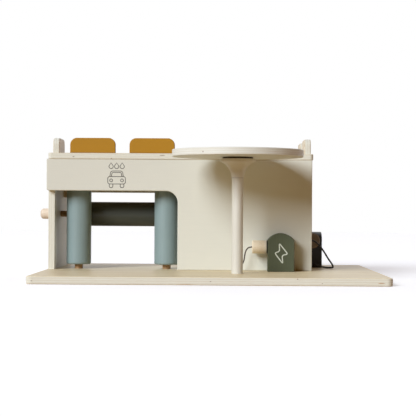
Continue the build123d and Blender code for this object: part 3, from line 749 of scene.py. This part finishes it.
@dataclass
class Stroke:
    """A line of points on a flat face."""

    points: list[tuple[float, float]]
    closed: bool = True

    def rounded(self, radius: float, steps: int = 5, most: float = 0.48) -> "Stroke":
        """Rounds the corners.

        Args:
            radius: how far from a corner the rounding starts.
            steps: points of each rounding.
            most: the longest that a rounding may be, as a share of the line it is on.

        Returns:
            A new stroke.
        """
        count = len(self.points)
        made: list[tuple[float, float]] = []
        for i, corner in enumerate(self.points):
            if not self.closed and i in (0, count - 1):
                made.append(corner)
                continue
            here = Vector(corner)
            before = Vector(self.points[i - 1]) - here
            after = Vector(self.points[(i + 1) % count]) - here
            start = here + before.normalized() * min(radius, before.length * most)
            end = here + after.normalized() * min(radius, after.length * most)
            for k in range(steps + 1):
                t = k / steps
                at = start * (1 - t) ** 2 + here * (2 * t * (1 - t)) + end * t ** 2
                made.append((at.x, at.y))
        return Stroke(made, self.closed)

    @staticmethod
    def ring(x: float, z: float, radius: float, count: int = 20) -> "Stroke":
        """A circle."""
        turns = [math.tau * i / count for i in range(count)]
        return Stroke([(x + radius * math.cos(a), z + radius * math.sin(a)) for a in turns])


@dataclass
class WashSign:
    """The printed car under three drops, over the wash's doorway."""

    middle: float = -137.8 * MM
    line: float = 1.05 * MM
    drop_pitch: float = 8.1 * MM
    drop_w: float = 6.2 * MM
    drop_top: float = 166.2 * MM
    drop_h: float = 8.4 * MM
    body_w: float = 25.8 * MM
    body_top: float = 146.2 * MM
    body_bottom: float = 135.4 * MM
    cabin_w: float = 19.6 * MM
    cabin_top: float = 154.3 * MM
    lamp_out: float = 7.9 * MM
    lamp_z: float = 140.6 * MM
    lamp_r: float = 2.1 * MM
    wheel_out: float = 8.0 * MM
    wheel_w: float = 5.2 * MM
    wheel_bottom: float = 130.1 * MM
    body_corner: float = 3.4 * MM
    cabin_corner: float = 3.0 * MM
    wheel_corner: float = 2.4 * MM
    glass_in: float = 2.1 * MM
    cabin_taper: float = 0.86
    belly: range = range(155, 386, 15)  # degrees round a drop
    ink: Colour = (0.135, 0.130, 0.112)

    def _drop(self, x: float) -> Stroke:
        """One drop, with its point up over the open part of its round belly."""
        r = self.drop_w / 2
        low = self.drop_top - self.drop_h + r
        turns = [math.radians(a) for a in self.belly]
        belly = [(x + r * math.cos(a), low + r * math.sin(a)) for a in turns]
        return Stroke([(x, self.drop_top)] + belly)

    def strokes(self) -> list[Stroke]:
        """All lines of the sign."""
        m, half = self.middle, self.body_w / 2
        made = [self._drop(m + i * self.drop_pitch) for i in (-1, 0, 1)]
        body = [(m - half, self.body_top), (m + half, self.body_top),
                (m + half, self.body_bottom), (m - half, self.body_bottom)]
        made.append(Stroke(body).rounded(self.body_corner))
        for inset in (0.0, self.glass_in):
            w, top = self.cabin_w / 2 - inset, self.cabin_top - inset
            narrow = w * self.cabin_taper
            cabin = [(m - w, self.body_top), (m - narrow, top), (m + narrow, top),
                     (m + w, self.body_top)]
            made.append(Stroke(cabin, False).rounded(self.cabin_corner - inset / 2))
        for side in (-1, 1):
            made.append(Stroke.ring(m + side * self.lamp_out, self.lamp_z, self.lamp_r))
            x, w = m + side * self.wheel_out, self.wheel_w / 2
            tyre = [(x - w, self.body_bottom), (x - w, self.wheel_bottom),
                    (x + w, self.wheel_bottom), (x + w, self.body_bottom)]
            made.append(Stroke(tyre, False).rounded(self.wheel_corner))
        return made

    def build(self, pen: StrokeTree) -> bpy.types.Object:
        """Prints the sign on the front panel."""
        ink = InkFinish("grey_print", self.ink).material()
        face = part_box("front_panel")[0].y
        sign = pen.draw("wash_sign", self.strokes(), self.line, face, ink)
        return report(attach(sign, "root"))


@dataclass
class BoltSign:
    """The printed lightning bolt on the charging post. Its outline is in millimetres."""

    line: float = 1.55 * MM
    corner: float = 3.4 * MM
    ink: Colour = (0.66, 0.70, 0.60)
    outline: tuple[tuple[float, float], ...] = (
        (98.2, 51.6), (110.8, 35.7), (102.3, 34.3), (103.7, 21.9), (91.6, 37.6), (98.9, 39.5))

    def build(self, pen: StrokeTree) -> bpy.types.Object:
        """Prints the bolt on the post's front."""
        ink = InkFinish("pale_print", self.ink).material()
        bolt = Stroke([(x * MM, z * MM) for x, z in self.outline]).rounded(self.corner)
        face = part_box("charging_post")[0].y
        sign = pen.draw("bolt_sign", [bolt], self.line, face, ink)
        return report(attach(sign, "root"))


@dataclass
class Island:
    """One screw of a CAD node: its head's middle, the way its head faces, and its length."""

    head: Vector
    faces: Vector
    length: float


def islands_of(node: str) -> list[Island]:
    """Finds the separate screws in a CAD node.

    Args:
        node: name of the CAD node.

    Returns:
        One entry for each screw.
    """
    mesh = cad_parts[node].data
    co = np.array([v.co for v in mesh.vertices])
    keys = {}
    merged = [keys.setdefault(tuple(np.round(p, 6)), i) for i, p in enumerate(co)]
    owner = list(range(len(co)))

    def root(i: int) -> int:
        """The island's first vertex."""
        while owner[i] != i:
            owner[i] = owner[owner[i]]
            i = owner[i]
        return i

    for face in mesh.polygons:
        corners = [merged[v] for v in face.vertices]
        for other in corners[1:]:
            owner[root(other)] = root(corners[0])
    groups: dict[int, list[int]] = {}
    for i in range(len(co)):
        groups.setdefault(root(merged[i]), []).append(i)
    made = []
    for members in groups.values():
        points = co[members]
        low, high = points.min(0), points.max(0)
        along = int(np.argmax(high - low))
        middle = (low + high) / 2
        flat = np.delete(points - middle, along, axis=1)
        wide = points[np.argmax((flat ** 2).sum(1))]
        sign = 1.0 if wide[along] > middle[along] else -1.0
        head = Vector(middle)
        head[along] = high[along] if sign > 0 else low[along]
        faces = Vector((0.0, 0.0, 0.0))
        faces[along] = sign
        made.append(Island(head, faces, float(high[along] - low[along])))
    return made


@dataclass
class ScrewSet:
    """Countersunk screws with a cross recess, one for each in a CAD node.

    The tip and the recess's floor and pit are shares of the shank, of the recess's edge and of its
    depth. A row is a CAD node, the body that it is on and the seed for the turn of its crosses.
    """

    head_d: float = 7.0 * MM
    shank_d: float = 3.5 * MM
    cone_h: float = 2.0 * MM
    arm: float = 4.3 * MM
    slot_w: float = 1.0 * MM
    recess: float = 1.3 * MM
    rim: float = 0.2 * MM
    tip_share: float = 0.30
    floor_share: float = 0.62
    pit_share: float = 1.25
    sides: int = 48
    rows: tuple[tuple[str, str, int], ...] = (
        ("base_screws", "root", 3), ("cleat_screws", "root", 4), ("lift_screws", "lift", 5))
    tree: GeometrySheet = field(init=False)

    def __post_init__(self) -> None:
        """Builds the tree that sets a screw at every point, turned about its axis at random."""
        sheet = GeometrySheet("screw_row", {
            "Screw": "NodeSocketObject", "Seed": "NodeSocketInt", "Material": "NodeSocketMaterial"})
        model = sheet.node("GeometryNodeObjectInfo", None, {"Object": sheet.given("Screw")},
                           "Geometry")
        way = sheet.node("GeometryNodeInputNamedAttribute", {"data_type": "FLOAT_VECTOR"},
                         {"Name": "head_faces"})
        stand = sheet.node("FunctionNodeAlignRotationToVector", {"axis": "Z"}, {"Vector": way})
        spin = sheet.node("FunctionNodeRandomValue", {"data_type": "FLOAT"},
                          {2: 0.0, 3: math.tau, "Seed": sheet.given("Seed")}, 1)
        turn = sheet.node("FunctionNodeAxisAngleToRotation", None,
                          {"Axis": (0.0, 0.0, 1.0), "Angle": spin})
        both = sheet.node("FunctionNodeRotateRotation", {"rotation_space": "LOCAL"},
                          {"Rotation": stand, "Rotate By": turn})
        sheet.end(sheet.node("GeometryNodeInstanceOnPoints", None, {
            "Points": sheet.given("Geometry"), "Instance": model, "Rotation": both}))
        self.tree = sheet

    def _recess_reach(self, angle: float) -> float:
        """Distance from the middle to the recess's edge at an angle."""
        tiny = 1e-6
        c, s = max(tiny, abs(math.cos(angle))), max(tiny, abs(math.sin(angle)))
        half, wide = self.arm / 2, self.slot_w / 2
        return max(min(half / c, wide / s), min(half / s, wide / c))

    def _screw(self, length: float) -> bpy.types.Object:
        """Builds one screw, head up at the origin.

        Args:
            length: overall length.

        Returns:
            An object outside the scene's pieces.
        """
        n, shank, head = self.sides, self.shank_d / 2, self.head_d / 2
        turns = [math.tau * i / n for i in range(n)]
        edge = [self._recess_reach(a) for a in turns]
        round_rings = ((self.shank_d * self.tip_share, -length), (shank, -length + self.shank_d),
                       (shank, -self.cone_h), (head, -self.rim), (head - self.rim, 0.0))
        profile = [([radius] * n, z) for radius, z in round_rings]
        profile += [(edge, 0.0), ([reach * self.floor_share for reach in edge], -self.recess)]
        points = [Vector((radius * math.cos(a), radius * math.sin(a), z))
                  for radii, z in profile for radius, a in zip(radii, turns)]
        points += [Vector((0.0, 0.0, -length)), Vector((0.0, 0.0, -self.recess * self.pit_share))]
        last, tip, pit = (len(profile) - 1) * n, len(points) - 2, len(points) - 1
        faces: list[tuple[int, ...]] = []
        for first in range(0, last, n):
            for i in range(n):
                j = (i + 1) % n
                faces.append((first + i, first + j, first + n + j, first + n + i))
        faces += [((i + 1) % n, i, tip) for i in range(n)]
        faces += [(last + i, last + (i + 1) % n, pit) for i in range(n)]
        return bpy.data.objects.new("screw_model", new_mesh("screw_model", points, faces))

    def _row(self, node: str, body: str, seed: int, steel: bpy.types.Material) -> None:
        """Replaces a CAD node's screws.

        Args:
            node: the CAD node.
            body: the body that it is on.
            seed: for the turn of each cross.
            steel: the screws' material.
        """
        found = islands_of(node)
        model = self._screw(min(i.length for i in found))
        mesh = new_mesh(node + "_points", [i.head for i in found])
        way = mesh.attributes.new("head_faces", "FLOAT_VECTOR", "POINT")
        way.data.foreach_set("vector", [c for i in found for c in i.faces])
        piece = self.tree.apply(node + "_detailed", add_object(node + "_points", mesh), {
            "Screw": model, "Seed": seed, "Material": steel})
        bpy.data.objects.remove(model)
        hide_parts(node)
        report(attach(piece, body))

    def build(self, steel: bpy.types.Material) -> None:
        """Builds every row in one steel."""
        for row in self.rows:
            self._row(*row, steel)


@dataclass
class BraidedCord:
    """A free cord: a tube with a braid's relief along a smooth route."""

    name: str
    route: tuple[Point, ...]
    diameter: float
    length: float
    moves_with: str
    bend_from: Point
    bend_to: Point
    far_end: str
    with_pieces: tuple[str, ...]
    order: int = 3
    steps: int = 48
    sides: int = 32
    relief: float = 0.07
    path: list[Vector] = field(default_factory=list)

    def _read_path(self) -> list[Vector]:
        """Points of the smooth line that the route's points pull into shape."""
        curve = bpy.data.curves.new(self.name + "_line", "CURVE")
        curve.dimensions = "3D"
        curve.resolution_u = self.steps
        spline = curve.splines.new("NURBS")
        spline.points.add(len(self.route) - 1)
        for point, at in zip(spline.points, self.route):
            point.co = (at[0] * MM, at[1] * MM, at[2] * MM, 1.0)
        spline.order_u = self.order
        spline.use_endpoint_u = True
        holder = bpy.data.objects.new(self.name + "_line", curve)
        bpy.context.scene.collection.objects.link(holder)
        bpy.context.view_layer.update()
        mesh = frozen(holder)
        points = [v.co.copy() for v in mesh.vertices]
        bpy.data.meshes.remove(mesh)
        return points

    def _tube(self) -> bpy.types.Mesh:
        """Sweeps the braided ring along the path.

        Returns:
            A closed mesh with a UV map in turns and lengths.
        """
        line = self.path
        run = [0.0]
        for a, b in zip(line, line[1:]):
            run.append(run[-1] + (b - a).length)
        first = line[1] - line[0]
        steep = abs(first.normalized().y) >= 0.9
        side = first.cross(Vector((1, 0, 0)) if steep else Vector((0, 1, 0)))
        pitch = math.pi * self.diameter
        points: list[Vector] = []
        for i, at in enumerate(line):
            ahead = (line[min(i + 1, len(line) - 1)] - line[max(i - 1, 0)]).normalized()
            side = (side - ahead * side.dot(ahead)).normalized()
            up = ahead.cross(side)
            for k in range(self.sides):
                turn = k / self.sides
                weave = max(abs(math.sin(CARRIERS * math.pi * (turn + lay * run[i] / pitch)))
                            for lay in (1, -1))
                radius = self.diameter / 2 * (1 - self.relief + self.relief * weave)
                a = math.tau * turn
                points.append(at + (side * math.cos(a) + up * math.sin(a)) * radius)
        n, rings = self.sides, len(line)
        faces, marks = [], []
        for i in range(rings - 1):
            for k in range(n):
                j = (k + 1) % n
                faces.append((i * n + k, i * n + j, (i + 1) * n + j, (i + 1) * n + k))
                u0, u1 = k / n, (k + 1) / n
                v0, v1 = run[i] / pitch, run[i + 1] / pitch
                marks += [(u0, v0), (u1, v0), (u1, v1), (u0, v1)]
        for ring, turned in ((0, True), (rings - 1, False)):
            loop = [ring * n + k for k in range(n)]
            faces.append(tuple(reversed(loop)) if turned else tuple(loop))
            marks += [(0.0, run[ring] / pitch)] * n
        mesh = new_mesh(self.name, points, faces)
        layer = mesh.uv_layers.new(name="UVMap")
        layer.data.foreach_set("uv", [c for uv in marks for c in uv])
        mesh.polygons.foreach_set("use_smooth", [True] * len(faces))
        return mesh

    def build(self, finish: BraidFinish) -> bpy.types.Object:
        """Builds the cord in place of its CAD node."""
        self.path = self._read_path()
        piece = add_object(self.name + "_braid", self._tube())
        piece.data.materials.append(finish.material())
        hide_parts(self.name)
        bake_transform(piece)
        return report(piece)


# ---------------------------------------------------------------- sub-assemblies
CREAM = (0.745, 0.732, 0.634)
MUSTARD = (0.470, 0.225, 0.008)
GREEN = (0.085, 0.099, 0.052)
BLACK = (0.0065, 0.0050, 0.0062)
COLUMN = (0.73, 0.70, 0.61)
ROLLER_GREY = (0.262, 0.345, 0.342)
# painted shade: the rollers' grey-green made much darker for the lying roller, which stands in deep
# shade
ROLLER_PAINTED_SHADE = (0.066, 0.073, 0.056)
DARK_PLATE = (0.05, 0.05, 0.05)
RESIN = (0.46, 0.20, 0.05)
# painted shade in the creases at the front panel's foot and under the deck's edge
CREASE_SHADE = (0.22, 0.15, 0.08)
SPINDLE = ((0.52, 0.31, 0.15), (0.38, 0.20, 0.09))
KNOB = ((0.83, 0.71, 0.57), (0.72, 0.58, 0.44))
CLEAT = ((0.80, 0.66, 0.46), (0.68, 0.52, 0.33))
PLUG = ((0.90, 0.78, 0.58), (0.80, 0.66, 0.46))
COLLAR = ((0.88, 0.78, 0.62), (0.78, 0.67, 0.50))
NOZZLE = ((0.26, 0.20, 0.14), (0.18, 0.135, 0.09))
GREY_BRAID = ((0.045, 0.033, 0.025), (0.13, 0.10, 0.08))
BLACK_BRAID = ((0.010, 0.009, 0.009), (0.030, 0.027, 0.025))
BASE_VENEER = Veneer(pale=(0.89, 0.765, 0.50), dark=(0.68, 0.53, 0.315),
                     edge_pale=(0.89, 0.885, 0.77), edge_dark=(0.78, 0.735, 0.60))
PAD_VENEER = Veneer(edge_pale=(0.88, 0.88, 0.80), edge_dark=(0.79, 0.77, 0.66))


@dataclass
class Cords:
    """The charging cord and the fuel hose. Their routes are in millimetres over the base plate."""

    base_top: float = 10.5
    charging: tuple[Point, ...] = (
        (41.0, -28.0, -4.8), (41.0, -28.0, 3.5), (48.4, -28.0, 14.0), (49.4, -28.0, 25.0),
        (51.6, -28.0, 31.2), (55.6, -28.0, 34.9), (64.0, -28.0, 35.0))
    hose: tuple[Point, ...] = (
        (150.0, 109.8, 9.5), (150.0, 99.0, 9.5), (156.5, 93.5, 6.3), (165.0, 88.0, 2.8),
        (174.0, 79.0, 1.5), (180.3, 73.0, 1.5), (185.4, 67.0, 2.0), (183.2, 64.4, 6.8),
        (177.0, 65.2, 15.2), (170.8, 66.3, 26.0), (163.2, 68.3, 36.2), (156.5, 73.5, 41.9),
        (154.75, 81.3, 42.0), (154.75, 88.5, 42.0))

    def _raised(self, route: tuple[Point, ...]) -> tuple[Point, ...]:
        """A route measured from the floor."""
        return tuple((x, y, z + self.base_top) for x, y, z in route)

    def build(self) -> None:
        """Builds both cords."""
        BraidedCord("charging_cord", self._raised(self.charging), diameter=2.0 * MM, length=0.0518,
                    moves_with="charging_plug", bend_from=(0.048, -0.028, 0.014),
                    bend_to=(0.048, -0.028, 0.043), far_end="plug",
                    with_pieces=("charging_plug", "plug_collar", "plug_magnet"),
                    ).build(BraidFinish("grey_braid", *GREY_BRAID))
        BraidedCord("fuel_hose", self._raised(self.hose), diameter=2.6 * MM, length=0.1247,
                    moves_with="fuel_nozzle", bend_from=(0.174, 0.066, 0.022),
                    bend_to=(0.174, 0.066, 0.050), far_end="fitting",
                    with_pieces=("fuel_nozzle", "nozzle_magnet"),
                    ).build(BraidFinish("black_braid", *BLACK_BRAID))


@dataclass
class House:
    """Base plate, walls, panels, deck, kerb boards and what fastens them.

    The marks in the boards' front edges are given by X, Z, half width and half height, in
    millimetres.
    """

    base_knots: tuple[tuple[float, ...], ...] = (
        (-231.9, 4.5, 1.6, 0.96), (1.8, 5.1, 1.4, 0.84), (115.1, 8.9, 1.5, 0.90),
        (147.3, 3.5, 1.2, 0.72))
    base_resin: tuple[float, ...] = (224.4, 4.1, 6.2, 1.0)
    base_streak: tuple[float, ...] = (-31.4, 1.0, 14.0, 0.9)
    deck_knots: tuple[tuple[float, ...], ...] = (
        (-200.8, 175.1, 2.2, 1.0), (-145.5, 172.7, 1.6, 1.0), (-71.3, 177.3, 5.5, 1.0))
    mark_depth: float = 1.5 * MM
    crease_shade_depth: float = 1.3 * MM
    crease_shade_half: float = 0.9 * MM

    def _mark(self, node: str, spot: tuple[float, ...], **looks: Any) -> Mark:
        """One mark in a board's front edge.

        Args:
            node: the board's CAD node.
            spot: its X, Z, half width and half height in millimetres.
            looks: its colour and depth, where it isn't a knot.

        Returns:
            The mark.
        """
        x, z, wide, tall = (number * MM for number in spot)
        return Mark((x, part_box(node)[0].y, z), (wide, self.mark_depth, tall), **looks)

    def _crease_shade(self, z: float) -> Mark:
        """Painted shade: the dark line along the crease where the front panel meets a board at
        height z.
        """
        low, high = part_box("front_panel")
        middle = ((low.x + high.x) / 2, low.y, z)
        return Mark(middle, (high.x - low.x, self.crease_shade_depth, self.crease_shade_half), CREASE_SHADE, 0.55)

    def build(self) -> None:
        """Dresses the boards and their fasteners."""
        base = [self._mark("base_plate", spot) for spot in self.base_knots]
        base.append(self._mark("base_plate", self.base_resin, colour=RESIN, depth=0.8))
        base.append(self._mark("base_plate", self.base_streak, colour=RESIN, depth=0.45))
        dress_board("base_plate", Axis.Z, Axis.X, veneer=BASE_VENEER, marks=tuple(base),
                    roughness=0.40, shine=0.25)
        deck = tuple(self._mark("roof_deck", spot) for spot in self.deck_knots)
        dress_board("roof_deck", Axis.Z, Axis.X, marks=deck, roughness=0.42)
        # painted shade along the front panel's foot and under the deck's edge
        crease_shades = tuple(self._crease_shade(corner.z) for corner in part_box("front_panel"))
        dress_board("front_panel", Axis.Y, Axis.X, paint=CREAM, roughness=0.55, marks=crease_shades)
        for node in ("rear_panel", "rear_lift_panel"):
            dress_board(node, Axis.Y, Axis.X, paint=CREAM, roughness=0.55)
        for node in ("left_wall", "middle_wall", "right_wall"):
            dress_board(node, Axis.X, Axis.Y, paint=CREAM, roughness=0.55)
        for node in ("left_guard", "right_front_guard", "right_rear_guard"):
            dress_board(node, Axis.X, Axis.Y, roughness=0.45)
        for node in ("bay_barrier_left", "bay_barrier_right"):
            dress_board(node, Axis.Y, Axis.X, paint=MUSTARD, edges=EdgeLook.PAINTED, shine=0.35)
        dress(BeechFinish("cleat_wood", Axis.Z, *CLEAT), "deck_cleats")
        dress(BeechFinish("dowel_wood", Axis.Z), "deck_dowels", "kerb_dowels")


class CarWash:
    """The three rollers."""

    def build(self) -> None:
        """Dresses rollers, dowels and the knob."""
        dress(PaintFinish("roller_paint_upright", ROLLER_GREY, Axis.Z, 0.42),
              "wash_roller_left", "wash_roller_right")
        # painted shade: the lying roller gets a darkened copy of the upright rollers' paint
        dress(PaintFinish("roller_paint_lying_painted_shade", ROLLER_PAINTED_SHADE, Axis.X, 0.42), "top_roller")
        dress(BeechFinish("spindle_wood", Axis.Z, *SPINDLE), "roller_spindle_left",
              "roller_spindle_right")
        dress(BeechFinish("axle_wood", Axis.X, *SPINDLE), "roller_axle")
        dress(BeechFinish("knob_wood", Axis.X, *KNOB), "roller_knob")


@dataclass
class Helipad:
    """The turning pad on its column, with one knot in its rim."""

    knot: Mark = Mark((-9.5 * MM, -183.4 * MM, 175.8 * MM), (1.4 * MM, 2.0 * MM, 1.4 * MM))

    def build(self) -> None:
        """Dresses pad, capital, column, washer and pivot."""
        dress_board("helipad_disc", Axis.Z, Axis.X, "helipad_ply", paint=CREAM, veneer=PAD_VENEER,
                    marks=(self.knot,))
        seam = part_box("helipad_capital")[0].z
        dress(PaintFinish("column_paint", COLUMN, Axis.Z, uneven=0.07, seam=seam), "helipad_column",
              "helipad_capital")
        dress(FeltFinish("washer_felt"), "helipad_washer")
        dress(BeechFinish("pivot_wood", Axis.Z), "helipad_pivot")


class Stations:
    """The charging post and the fuel pump."""

    def build(self) -> bpy.types.Material:
        """Dresses both stations and what plugs into them.

        Returns:
            The magnets' steel, which the screws share.
        """
        dress(PaintFinish("post_green", GREEN, Axis.Z, uneven=0.16), "charging_post")
        dress(PaintFinish("pump_black", BLACK, Axis.Z, 0.38, uneven=0.2), "fuel_pump")
        dress(BeechFinish("plug_wood", Axis.X, *PLUG), "charging_plug")
        dress(BeechFinish("collar_wood", Axis.X, *COLLAR), "plug_collar")
        dress(BeechFinish("nozzle_wood", Axis.Y, *NOZZLE), "fuel_nozzle")
        dress(MetalFinish("dark_plate", DARK_PLATE, 0.4), "charger_socket", "pump_socket")
        return dress(MetalFinish("zinc_steel"), "charger_magnet", "plug_magnet", "pump_magnet",
                     "nozzle_magnet")


class Lift:
    """The platform and its carriage."""

    def build(self) -> None:
        """Dresses platform, plates, slider and knob."""
        dress_board("lift_platform", Axis.Z, Axis.X, "platform_ply", roughness=0.42)
        for node in ("lift_back_plate", "lift_handle"):
            dress_board(node, Axis.Y, Axis.X, paint=MUSTARD, edges=EdgeLook.PAINTED)
        dress(BeechFinish("slider_wood", Axis.Z), "lift_slider")
        dress(BeechFinish("lift_knob_wood", Axis.Y, *KNOB), "lift_knob")


# ---------------------------------------------------------------- studio
@dataclass
class Studio:
    """Camera, floor, backdrop and one large lamp.

    Lines along Y meet in the photograph at depth_at_px, and drop is how far the camera's right
    side sinks per metre. The lamp's share is its light against that of a plain white sky.
    """

    eye: Point = (17.5 * MM, -1934.0 * MM, 97.8 * MM)
    focal_px: float = 1320.0
    frame_px: float = 416.0
    depth_at_px: tuple[float, float] = (223.0, 210.45)
    drop: float = 0.0062
    sensor: float = 36.0
    clip: tuple[float, float] = (0.05, 60.0)
    key_from: Point = (-0.74, -1.0, 0.64)
    key_aim: Point = (0.0, 0.0, 0.09)
    key_away: float = 120.0
    key_size: float = 53.1
    key_share: float = 1.065
    key_colour: Colour = (0.930, 1.0, 1.085)
    backdrop: Colour = (0.76, 0.78, 0.90)
    backdrop_fade: tuple[float, float] = (0.0, 0.50)
    studio: Colour = (0.100, 0.040, 0.0)
    white: Colour = (1.0, 1.0, 1.0)
    floor_half: float = 4.0
    floor_gap: float = 0.05 * MM
    floor_pale: Colour = (0.905, 0.90, 0.89)
    floor_deep: Colour = (0.88, 0.875, 0.868)
    floor_bounce: Colour = (0.37, 0.20, 0.04)
    floor_glow: float = 0.345

    def camera(self) -> None:
        """Puts the camera where the photograph was taken from."""
        lens = bpy.data.cameras.new("camera")
        lens.sensor_fit = "HORIZONTAL"
        lens.sensor_width = self.sensor
        lens.lens = self.sensor * self.focal_px / self.frame_px
        lens.clip_start, lens.clip_end = self.clip
        half = self.frame_px / 2
        deep = Vector(((self.depth_at_px[0] - half) / self.focal_px,
                       (half - self.depth_at_px[1]) / self.focal_px, -1.0)).normalized()
        right = Vector((1.0, -self.drop, 0.0))
        right.z = -(right.x * deep.x + right.y * deep.y) / deep.z
        right.normalize()
        up = right.cross(deep)
        seen = bpy.data.objects.new("camera", lens)
        seen.matrix_world = Matrix.Translation(self.eye) @ Matrix((right, deep, up)).to_4x4()
        bpy.context.scene.collection.objects.link(seen)
        bpy.context.scene.camera = seen

    def _rays(self, sheet: ShaderSheet) -> list[Wire]:
        """1 for a camera ray, for a glossy ray and for a transmission ray."""
        return [sheet.node("ShaderNodeLightPath", output=f"Is {kind} Ray")
                for kind in ("Camera", "Glossy", "Transmission")]

    def _floor(self) -> None:
        """A pale cloth, white to the camera where no shadow falls, that throws back warm light."""
        sheet = ShaderSheet("studio_floor")
        grain = sheet.noise(180.0)
        colour = sheet.mix(grain, self.floor_pale, self.floor_deep)
        bounce = sheet.node("ShaderNodeBsdfDiffuse", None, {"Color": self.floor_bounce})
        cloth = sheet.node("ShaderNodeBsdfDiffuse", None, {"Color": colour})
        glow = sheet.node("ShaderNodeEmission", None,
                          {"Color": self.white, "Strength": self.floor_glow})
        both = sheet.node("ShaderNodeAddShader", None, {0: cloth, 1: glow})
        camera, glossy, clear = self._rays(sheet)
        seen = camera.larger(glossy).larger(clear)
        shown = sheet.node("ShaderNodeMixShader", None, {0: seen, 1: bounce, 2: both})
        sheet.node("ShaderNodeOutputMaterial", None, {"Surface": shown})
        half = self.floor_half
        corners = ((-half, -half, 0.0), (half, -half, 0.0), (half, half, 0.0), (-half, half, 0.0))
        mesh = new_mesh("floor", corners, [(0, 1, 2, 3)])
        mesh.materials.append(sheet.owner)
        floor = add_object("floor", mesh)
        floor.location.z = -self.floor_gap

    def _sky(self) -> None:
        """A pale backdrop behind the house and a dim room in front, both white to the camera."""
        world = bpy.data.worlds.new("sky")
        bpy.context.scene.world = world
        sheet = ShaderSheet("sky", world)
        way = sheet.node("ShaderNodeTexCoord", output="Generated")
        behind = sheet.part(way, Axis.Y).step(*self.backdrop_fade)
        camera, glossy, clear = self._rays(sheet)
        lit = sheet.node("ShaderNodeBackground", None,
                         {"Color": sheet.mix(behind, self.studio, self.backdrop), "Strength": 1.0})
        white = sheet.node("ShaderNodeBackground", None, {"Color": self.white, "Strength": 1.0})
        seen = camera.larger(clear).larger(glossy * behind)
        shown = sheet.node("ShaderNodeMixShader", None, {0: seen, 1: lit, 2: white})
        sheet.node("ShaderNodeOutputWorld", None, {"Surface": shown})

    def _key(self) -> None:
        """A square lamp that looks at the house."""
        lamp = bpy.data.lights.new("key", "AREA")
        lamp.shape = "SQUARE"
        lamp.size = self.key_size
        lamp.energy = math.pi ** 2 * self.key_away ** 2 * self.key_share
        lamp.color = self.key_colour
        back = Vector(self.key_from).normalized()
        holder = bpy.data.objects.new("key", lamp)
        turned = (-back).to_track_quat("-Z", "Y").to_matrix().to_4x4()
        place = Vector(self.key_aim) + back * self.key_away
        holder.matrix_world = Matrix.Translation(place) @ turned
        bpy.context.scene.collection.objects.link(holder)

    def build(self) -> None:
        """Sets floor, sky, lamp and the view's plain colours."""
        bpy.context.scene.view_settings.view_transform = "Standard"
        self._floor()
        self._sky()
        self._key()


def main() -> None:
    """Builds the scene."""
    logging.basicConfig(level=logging.INFO, format="%(message)s")
    studio = Studio()
    studio.camera()
    Cords().build()
    House().build()
    CarWash().build()
    Helipad().build()
    steel = Stations().build()
    Lift().build()
    pen = StrokeTree()
    for sign in (WashSign(), BoltSign()):
        sign.build(pen)
    ScrewSet().build(steel)
    studio.build()


if __name__ == "__main__":
    main()
